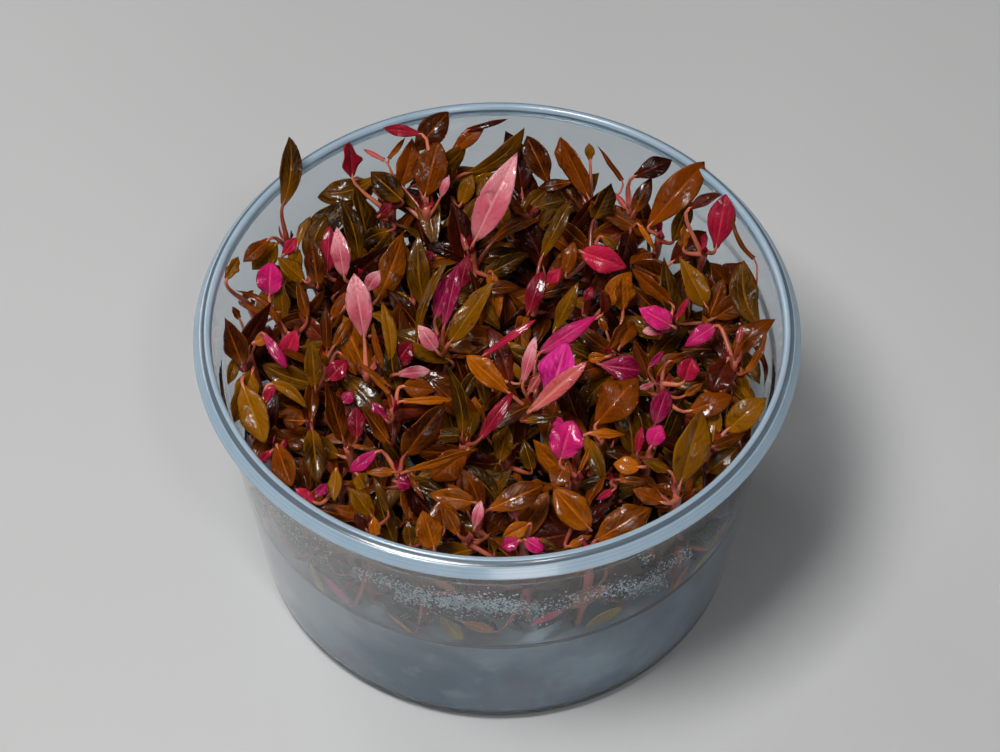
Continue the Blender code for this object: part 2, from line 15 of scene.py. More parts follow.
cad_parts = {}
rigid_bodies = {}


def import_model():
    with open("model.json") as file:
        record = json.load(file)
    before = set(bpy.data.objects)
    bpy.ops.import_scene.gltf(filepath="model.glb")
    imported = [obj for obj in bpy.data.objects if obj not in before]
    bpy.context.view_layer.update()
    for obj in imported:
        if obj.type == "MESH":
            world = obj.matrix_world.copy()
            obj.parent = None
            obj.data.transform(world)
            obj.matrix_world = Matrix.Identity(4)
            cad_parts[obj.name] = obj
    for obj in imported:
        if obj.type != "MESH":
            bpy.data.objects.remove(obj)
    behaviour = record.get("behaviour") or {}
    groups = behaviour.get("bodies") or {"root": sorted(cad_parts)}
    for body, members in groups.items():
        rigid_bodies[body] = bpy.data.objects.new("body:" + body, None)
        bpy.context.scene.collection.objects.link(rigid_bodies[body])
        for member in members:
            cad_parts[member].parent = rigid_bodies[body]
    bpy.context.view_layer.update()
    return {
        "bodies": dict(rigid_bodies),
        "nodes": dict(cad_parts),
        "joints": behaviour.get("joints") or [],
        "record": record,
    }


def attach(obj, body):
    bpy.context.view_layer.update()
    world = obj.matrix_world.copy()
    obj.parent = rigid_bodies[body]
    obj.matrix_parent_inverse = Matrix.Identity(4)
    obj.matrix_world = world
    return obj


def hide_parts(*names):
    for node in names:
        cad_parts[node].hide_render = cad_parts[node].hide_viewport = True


MM = 0.001
UP = Vector((0.0, 0.0, 1.0))

# The tub: a translucent deli-style tub with a rolled rim. Turned meshes have their doubled corners merged
# and their tiny edges taken out, with both sizes in metres.
TUB_STEPS = 168
MERGE_DISTANCE = 0.000002
TINY_EDGE = 0.000001
BASE_R = 48.7
WALL_SLOPE = 0.1057
CORNER_R = 3.5
CORNER_POINTS = 7
WALL = 0.9
FLOOR = 1.0

# The rim, and its section from the inner side over the top to the lower edge: each point's distance in
# from the rim's edge and its depth below the rim's top.
RIM_R = 58.5
RIM_TOP_Z = 67.7
RIM_EDGE_Z = 64.6
RIM_SECTION = (
    (3.5, 0.9), (3.38, 0.45), (3.05, 0.1), (2.75, 0.0), (2.4, 0.06), (2.25, 0.2), (1.45, 0.92),
    (1.32, 0.9), (1.12, 1.12), (0.28, 2.55), (0.08, 2.72), (0.0, 2.95), (0.08, 3.12), (0.3, 3.16),
    (0.8, 3.1), (1.5, 2.2),
)
SKIRT_JOIN = 0.1

# The ledge inside the wall that a lid would rest on. Its steps are shares of its width and half rise.
LEDGE_Z = 57.0
LEDGE_R = 53.4
LEDGE_WIDTH = 0.9
LEDGE_HALF_RISE = 0.55
LEDGE_RUN = 5.0
LEDGE_STEPS = ((0.0, -1.0), (0.2, -0.4), (0.85, 0.3), (1.0, 1.0))

# The gel fills the lower half of the tub.
GAP = 0.3
GEL_TOP_Z = 31.0
MENISCUS = 1.0
MENISCUS_WIDTH = 2.2
MENISCUS_STEPS = 5
MENISCUS_CURVE = 2.5
GEL_EDGE_EXTRA = 0.1

# Where the 1000 x 752 picture was taken from, and the lines of sight through its points.
EYE = Vector((0.0, -361.3, 516.3))
EYE_PITCH = math.radians(52.262)
EYE_YAW = math.radians(0.0861)
FOCAL_PX = 3000.0
MIDDLE_PX = (500.0, 376.0)
MM_PER_PX = 0.193
LENS_MM = 108.0
SENSOR_MM = 36.0
CLIP_START = 0.01

# Stems: where they stand in the gel, and how far they wander.
STEM_R = 0.85
STEM_SIDES = 4
STEM_END = 0.9
STEM_MIDDLE = 0.55
STEM_TOP = 0.5
FOOT_R_MAX = 46.0
FOOT_PULL = 0.93
FOOT_WANDER = 1.5
LEAN = 0.8
CROWN_MARGIN = 2.5
HAIR = 0.001

# Leaves: half sizes of the stalk, and for the blade its thickness, arch and rise towards the tip.
PETIOLE_R = 0.5
STALK_BEND = 0.35
STALK_END = 1.2
ROOTED = 0.5
LEAF_THICK = 0.5
LEAF_SIDES = 3
LEAF_ARCH = 0.1
RISING = 0.85
FALLING = 0.3
BASE_RISE = 2.0
JOINT_DROP = 2.5
JOINT_LOWEST = 0.3
JOINT_STEP = 0.035
BLADE_STATIONS = ((0.36, 0.98), (0.72, 0.76))

# Room: what plantlets keep from each other, the wall, the rim and the gel, and where a leaf is tried:
# shifts along the line of sight and inward in mm, and shares of its width.
CLEARANCE = 0.16
WALL_GAP = 0.5
RIM_GAP = 0.3
GEL_GAP = 0.2
LEDGE_ABOVE = 1.0
TALLEST = 84.0
ALONG_SIGHT = (0, 1, -1, 2, -2, 3, -3.2, 4.2, -4.6, 5.6, -6.2, 7.4, -8, 9.4, -10, 11.6, 14)
INWARD = (0, 0.8, 1.8, 3.0, 4.5)
NARROWING = (1.0, 0.8, 0.62)
ADDED_NARROWING = (1.0, 0.78)
SEED = 11
BRIGHT = ("crimson", "magenta", "pink", "salmon")

# The picture in cells, to see which parts of the tub's mouth have no leaf yet. A blade marks the cells
# at its rows and columns.
CELL_PX = 4
CELLS = (250, 188)
CANOPY_Z = 56.0
CANOPY_R = 51.0
MARK_ROWS = 14
MARK_COLUMNS = (-0.95, -0.5, 0.0, 0.5, 0.95)

# Where nothing is added, so that a stem, a fork or the tub's wall stays in sight: ends of a stroke and its
# half width in picture points.
KEEP_CLEAR = (
    ((247, 358), (264, 406), 7), ((246, 338), (238, 313), 5), ((246, 338), (258, 341), 4),
    ((317, 391), (327, 433), 5), ((327, 433), (346, 445), 5), ((346, 467), (358, 503), 5),
    ((396, 376), (394, 433), 6), ((395, 470), (394, 530), 6), ((366, 340), (366, 370), 4),
    ((323, 358), (344, 336), 4), ((442, 376), (440, 395), 5), ((434, 227), (404, 254), 3),
    ((714, 326), (738, 342), 6), ((738, 342), (734, 365), 6), ((740, 327), (738, 342), 5),
    ((629, 214), (628, 183), 4), ((629, 214), (614, 192), 4), ((629, 206), (648, 203), 4),
    ((447, 150), (447, 178), 4), ((524, 392), (524, 420), 5), ((524, 425), (530, 452), 5),
    ((579, 443), (575, 464), 5), ((592, 441), (579, 476), 5), ((608, 445), (613, 480), 5),
    ((471, 527), (471, 555), 6), ((458, 535), (462, 555), 4), ((522, 543), (522, 556), 4),
    ((593, 220), (591, 244), 4), ((350, 225), (358, 269), 4), ((750, 230), (758, 256), 4),
    ((247, 290), (284, 330), 12), ((236, 268), (250, 300), 8), ((455, 160), (470, 176), 8),
    ((524, 150), (545, 188), 9), ((605, 150), (634, 172), 12), ((758, 260), (772, 372), 10),
    ((226, 300), (240, 420), 8),
)

# Leaves that lie against the inside of the wall: kind, the two ends as picture points, and width. They
# are pressed flat, and their stalk leaves the stem at a share of its height.
# Their kinds are much lighter than the canopy's: painted light for the light that hardly reaches them
# through the wall.
WALL_LEAVES = (
    ("wet_brown", (279, 522), (297, 553), 17), ("wet_pink", (266, 512), (273, 528), 6),
    ("wet_olive", (313, 560), (325, 592), 13), ("wet_pink", (326, 572), (350, 600), 17),
    ("wet_brown", (302, 550), (312, 560), 8), ("wet_brown", (384, 606), (412, 629), 5),
    ("wet_brown", (433, 577), (454, 586), 12), ("wet_olive", (442, 612), (460, 637), 17),
    ("wet_brown", (462, 618), (493, 628), 18), ("wet_pink", (530, 622), (561, 607), 13),
    ("wet_brown", (570, 606), (604, 584), 22), ("wet_olive", (584, 624), (621, 604), 22),
    ("wet_brown", (686, 561), (670, 590), 10), ("wet_olive", (708, 545), (684, 579), 8),
    ("wet_brown", (724, 516), (710, 540), 12), ("wet_brown", (328, 555), (334, 566), 5),
)
WALL_LEAF_INSET = 0.45
WALL_LEAF_NEAR = 0.4
WALL_LEAF_JOINT = 0.45
PRESSED_FOLD = 0.02
PRESSED_WAVE = 0.03
PRESSED_BEND = 0.1
PRESSED_TAPER = (0.8, 0.9)

# Fine drops of water on the inside of the wall: ends of a band as picture points, its half height, how
# many drops, and their largest radius in mm. Each drop is flattened against the wall's inner face.
DROP_BANDS = (
    ((352, 568), (430, 594), 7, 620, 0.26), ((395, 592), (545, 607), 9, 1500, 0.28),
    ((440, 600), (520, 604), 10, 600, 0.34), ((545, 604), (600, 590), 7, 300, 0.26),
    ((600, 590), (665, 577), 10, 800, 0.28), ((650, 572), (690, 548), 7, 330, 0.26),
    ((400, 612), (560, 622), 8, 150, 0.26), ((700, 545), (742, 500), 9, 300, 0.24),
    ((268, 505), (330, 556), 10, 300, 0.24), ((640, 560), (652, 552), 6, 40, 0.36),
)
BUBBLE = (460, 596, 0.9)
DROP_SPREAD = 0.5
SMALLEST_DROP = 0.25
DROP_INSET = 0.02
DROP_SINK = 0.7
DROP_FLATNESS = 0.55

# How the blades are cut: rows along them, and columns from edge to edge.
FINE_CUT = (13, (-1.0, -0.84, -0.6, -0.34, -0.12, 0.0, 0.12, 0.34, 0.6, 0.84, 1.0))
PLAIN_CUT = (8, (-1.0, -0.65, -0.2, 0.0, 0.2, 0.65, 1.0))
ROW_SPACING = 0.9
BLADE_HALF_THICK = 0.13
MIDRIB_HALF_WIDTH = 0.13
MIDRIB_DEPTH = 0.16
MIDRIB_RIDGE = 0.24
FULL_MIDRIB = 1.5
FULL_THICKNESS = 0.6
TANGENT_STEP = 0.02

# How the blades vary: most turn and twist in radians, and the ranges of their other shapes. The bright
# kinds turn and twist less, and a blade's two edges wave out of step.
CALM = 0.5
ROLL = 0.55
TWIST = 0.8
FOLD = (0.15, 0.75)
WAVE = (0.05, 0.24)
WAVES = (1.4, 2.8)
EDGES_APART = 1.1
CURL = (-0.2, 0.06)
CUP = (-0.25, 0.2)
BASE_TAPER = (0.9, 1.4)
TIP_TAPER = (0.9, 1.25)

# Stalks and stems as they are seen. A stalk bends into its blade and thins out along the midrib, and a
# stem swells at its joints and goes on down into the gel.
TUBE_SIDES = 8
STALK_R = 0.5
STALK_RINGS = 6
STALK_PULL = 0.35
STALK_MOST_PULL = 3.0
STALK_AHEAD = 0.06
STALK_MEETS = 0.1
STALK_SHARE = 0.32
STALK_LEAST = 0.12
STALK_TAPER = (1.18, 0.1)
STALK_ENDS = (0.62, 0.12)
STEM_POINTS = 15
STEM_TAPER = (0.86, 0.16)
STEM_TIP = 0.35
NODE_SWELL = 0.32
NODE_SPREAD = 0.05
BURIED = 9.0
BURIED_SHARES = (0.35, 0.7, 0.8)

# Roots inside the gel: how many on a plantlet, their radii from start to end, and the ranges of how deep
# they start, how far they reach and how far they drop.
ROOTS = 4
ROOT_RADII = (0.26, 0.24, 0.22, 0.19, 0.15, 0.06)
ROOT_START = (3.0, 8.0)
ROOT_REACH = (2.0, 6.0)
ROOT_DROP = (5.0, 14.0)
ROOT_CURVES = (0.7, 1.4)
ROOT_GAP = 2.0

# The two upright leaves of a bud.
BUD_KINDS = ("orange", "crimson", "salmon", "brown")
BUD_R = 0.35
BUD_SPREAD = (0.9, 2.0)
BUD_HEIGHT = (2.8, 4.6)
BUD_HALF_WIDTH = (0.5, 0.9)

# Leaves for open cells: their kinds, as often as each is drawn, their length and bow in picture points,
# their width as a share of their length, and their drop below the crown in mm. They stop when a share of
# the cells is left, or after this many misses. Each added leaf has one of a few joints on its stem.
FILL_KINDS = ("olive",) * 8 + ("brown",) * 8 + ("orange",) * 4 + ("dark",) * 4 + ("underside",)
# The added leaves' tone is halved: painted shade for lying below the canopy.
FILL_SHADE_TONE = 0.5
FILL_TURN = 0.5
FILL_LENGTH = (44.0, 76.0)
FILL_WIDTH = (0.3, 0.46)
FILL_BOW = (-5.0, 5.0)
FILL_DROP = (3.0, 13.0)
FILL_ALONG = (0, -2, 1.5, -4.5)
FILL_NEAREST = 0.6
FILL_LEFT = 0.16
FILL_MISSES = 900
JOINTS = 6

# Leaves whose look differs from their row in PLANTLETS, by the tip's picture point.
OTHER_LOOKS = {
    (567, 342): "hot", (350, 143): "wine", (383, 128): "wine", (726, 194): "crimson",
    (628, 268): "crimson", (392, 203): "wine", (330, 226): "crimson", (572, 421): "magenta",
}

# More leaves seen in the picture that have no solid: kind, tip and base as picture points, width, drop
# below the crown and bow.
MORE_LEAVES = (
    ("olive", 222, 277, 262, 240, 21, 1.0, 6), ("brown", 249, 268, 272, 243, 15, 2.0, 0),
    ("brown", 236, 294, 277, 312, 6, 0.0, -7), ("olive", 318, 197, 352, 180, 22, -2.0, -5),
    ("olive", 300, 250, 285, 282, 22, 2.0, 0), ("brown", 335, 150, 372, 166, 20, 2.0, 4),
    ("dark", 344, 146, 356, 176, 24, 3.0, 0), ("brown", 412, 138, 398, 188, 26, 2.0, 3),
    ("orange", 440, 120, 426, 150, 12, 1.0, 0), ("olive", 378, 186, 346, 204, 18, 2.0, 0),
    ("brown", 560, 138, 572, 178, 20, 2.0, 0), ("olive", 640, 158, 622, 190, 14, 3.0, 0),
    ("brown", 700, 168, 668, 206, 22, 3.0, 3), ("dark", 706, 232, 672, 262, 34, 2.0, 0),
    ("dark", 742, 262, 712, 300, 36, 2.0, 0), ("olive", 770, 262, 764, 318, 22, -1.0, 6),
    ("orange", 766, 330, 746, 372, 9, 2.0, 4), ("olive", 500, 330, 476, 300, 22, 6.0, 0),
    ("orange", 632, 272, 604, 306, 24, 3.0, 0), ("brown", 655, 262, 662, 300, 24, 4.0, 2),
    ("olive", 436, 282, 470, 262, 20, 4.0, 0), ("brown", 545, 440, 556, 404, 26, 6.0, 0),
    ("olive", 470, 545, 452, 512, 24, 4.0, 0), ("brown", 560, 530, 536, 500, 24, 4.0, 0),
    ("orange", 372, 520, 350, 490, 16, 4.0, 0), ("olive", 235, 420, 252, 372, 30, 4.0, 0),
    ("brown", 250, 468, 272, 428, 20, 4.0, 0), ("brown", 300, 520, 322, 488, 18, 4.0, 0),
)
MORE_ALONG = (0, -2, 2, -4, -7)

# Tiers of low leaves: share of the stem's height, how many, shortest and longest length, and kinds. The
# leaves of a tier stand at even turns, rise a little, more so higher up, and droop at the tip.
# Their kinds run darker lower down, to the nearly black low look: painted shade for the shade under the
# canopy.
LOW_TIERS = (
    (0.05, 4, (9.0, 15.0), ("deep",)), (0.14, 4, (9.0, 15.0), ("deep",)),
    (0.25, 2, (8.0, 13.0), ("deep",)), (0.38, 2, (7.0, 12.0), ("deep", "deep", "dark")),
    (0.52, 2, (7.0, 12.0), ("deep", "dark", "brown", "olive")),
    (0.66, 2, (6.5, 11.0), ("dark", "brown", "olive")),
    (0.82, 2, (6.5, 11.0), ("dark", "brown", "olive", "brown")),
)
LOW_TURN = 0.25
LOW_RISE = (0.05, 0.2, 0.6)
LOW_STALK = (1.5, 4.0)
LOW_DROOP = (0.0, 1.8)
LOW_WIDTH = (0.16, 0.24)
LOW_HALF_THICK = 0.3
LOW_STALK_R = 0.4
LOW_MIDDLE = 0.4
LOW_ARCH = 0.5

# Leaf looks: darkest and lightest colour, colour of the veins and of the edges' painted glow, and
# roughness.
LEAF_LOOKS = {
    "olive": ((0.0140, 0.0055, 0.0004), (0.190, 0.0680, 0.0010), (0.330, 0.120, 0.004), 0.30),
    "brown": ((0.0180, 0.0035, 0.0003), (0.155, 0.0310, 0.0008), (0.330, 0.070, 0.004), 0.30),
    "orange": ((0.0500, 0.0100, 0.0005), (0.340, 0.0840, 0.0015), (0.540, 0.130, 0.008), 0.32),
    "dark": ((0.0080, 0.0015, 0.0006), (0.055, 0.0065, 0.0020), (0.120, 0.015, 0.005), 0.28),
    # The low look is nearly black: painted shade for leaves deep under the canopy.
    "deep": ((0.0030, 0.0016, 0.0003), (0.022, 0.0100, 0.0012), (0.045, 0.020, 0.004), 0.34),
    "crimson": ((0.0800, 0.0018, 0.0060), (0.360, 0.0080, 0.0360), (0.550, 0.040, 0.060), 0.32),
    "wine": ((0.0300, 0.0008, 0.0020), (0.200, 0.0050, 0.0150), (0.330, 0.030, 0.030), 0.32),
    "magenta": ((0.1200, 0.0010, 0.0150), (0.480, 0.0090, 0.1150), (0.580, 0.080, 0.150), 0.36),
    "hot": ((0.3000, 0.0040, 0.0900), (0.850, 0.0350, 0.3200), (0.850, 0.150, 0.300), 0.36),
    "pink": ((0.2500, 0.0140, 0.0340), (0.470, 0.0800, 0.1150), (0.680, 0.280, 0.270), 0.38),
    "salmon": ((0.2300, 0.0160, 0.0220), (0.420, 0.0680, 0.0680), (0.640, 0.240, 0.180), 0.35),
    # The wall leaves' looks are much lighter: painted light for the light that hardly reaches them through
    # the wall.
    "wet_olive": ((0.2400, 0.1300, 0.0100), (0.700, 0.4400, 0.0500), (0.800, 0.550, 0.120), 0.25),
    "wet_brown": ((0.3600, 0.0800, 0.0200), (0.800, 0.2400, 0.0600), (0.850, 0.400, 0.150), 0.25),
    "wet_pink": ((0.6000, 0.0400, 0.1200), (0.900, 0.1600, 0.3600), (0.900, 0.400, 0.480), 0.25),
    "underside": ((0.0600, 0.0055, 0.0030), (0.230, 0.0330, 0.0080), (0.340, 0.060, 0.020), 0.38),
}
VEINS = 7.0
VEIN_SWEEP = 0.34
STREAK_SCALES = (16.0, 2.2, 40.0)

# Stalk, stem and root looks: darker and lighter tone, and roughness.
STALK_LOOKS = {
    "stalk": ((0.150, 0.013, 0.005), (0.640, 0.180, 0.100), 0.34),
    "stem": ((0.160, 0.014, 0.008), (0.600, 0.150, 0.090), 0.34),
    "root": ((0.550, 0.500, 0.420), (0.800, 0.740, 0.650), 0.5),
}

# Darker and lighter tones of the plastic in the wall, the rim and the groove between the rim's bead and
# its ridge, the groove's darkened as painted shade, of the gel with its pinkish clouds and its curds, of
# the gel's edge, darkened as painted shade for its dark line, of the water drops, whitened as painted
# highlight, and of the floor, and the colours of a pink leaf's pale tip and its specks.
TUB_TONES = ((0.66, 0.72, 0.77), (0.76, 0.82, 0.86))
RIM_TONES = ((0.32, 0.45, 0.56), (0.46, 0.58, 0.68))
# The groove's tones darken the rim's plastic where it dips: painted shade.
GROOVE_SHADE_TONES = ((0.10, 0.135, 0.17), (0.16, 0.20, 0.24))
GEL_TONES = ((0.13, 0.20, 0.27), (0.40, 0.49, 0.56))
GEL_BLUSH = (0.25, 0.19, 0.22)
GEL_CURD = (0.55, 0.62, 0.66)
# The gel edge's tones are painted shade: the dark line that the meniscus shows.
GEL_LINE_SHADE_TONES = ((0.015, 0.022, 0.03), (0.04, 0.05, 0.06))
# The drops' nearly white tones are painted highlight: clear water drawn as white specks.
DROP_HIGHLIGHT_TONES = ((0.80, 0.86, 0.90), (0.97, 0.99, 1.0))
FLOOR_TONES = ((0.46, 0.46, 0.457), (0.49, 0.49, 0.487))
PALE_TIP = (0.74, 0.40, 0.41)
TIP_SPECK = (0.42, 0.05, 0.07)

# Where the rim's look, its groove of painted shade, the foot line and the gel's dark line of painted shade
# lie.
RIM_SKIRT = 0.3
GROOVE_Z = 66.7
GROOVE_R = (56.3, 57.08)
FOOT_LINE = (1.0, 1.7)
FOOT_LINE_DEPTH = 1.5
GEL_LINE = 0.35

# The studio: each light's name, place and size in metres, and power in watts.
LIGHTS = (
    ("key", (-0.2, -0.2, 0.8), 0.24, 6.2), ("back", (-0.45, 0.5, 0.55), 0.3, 1.3),
    ("front", (0.12, -0.85, 0.32), 0.3, 1.4), ("glint", (0.16, -0.5, 0.8), 0.08, 0.9),
)
AIM = (0.0, 0.0, 0.05)
SKY = (0.92, 0.95, 1.0, 1.0)
SKY_STRENGTH = 0.03
FLOOR_SIZE = 6.0

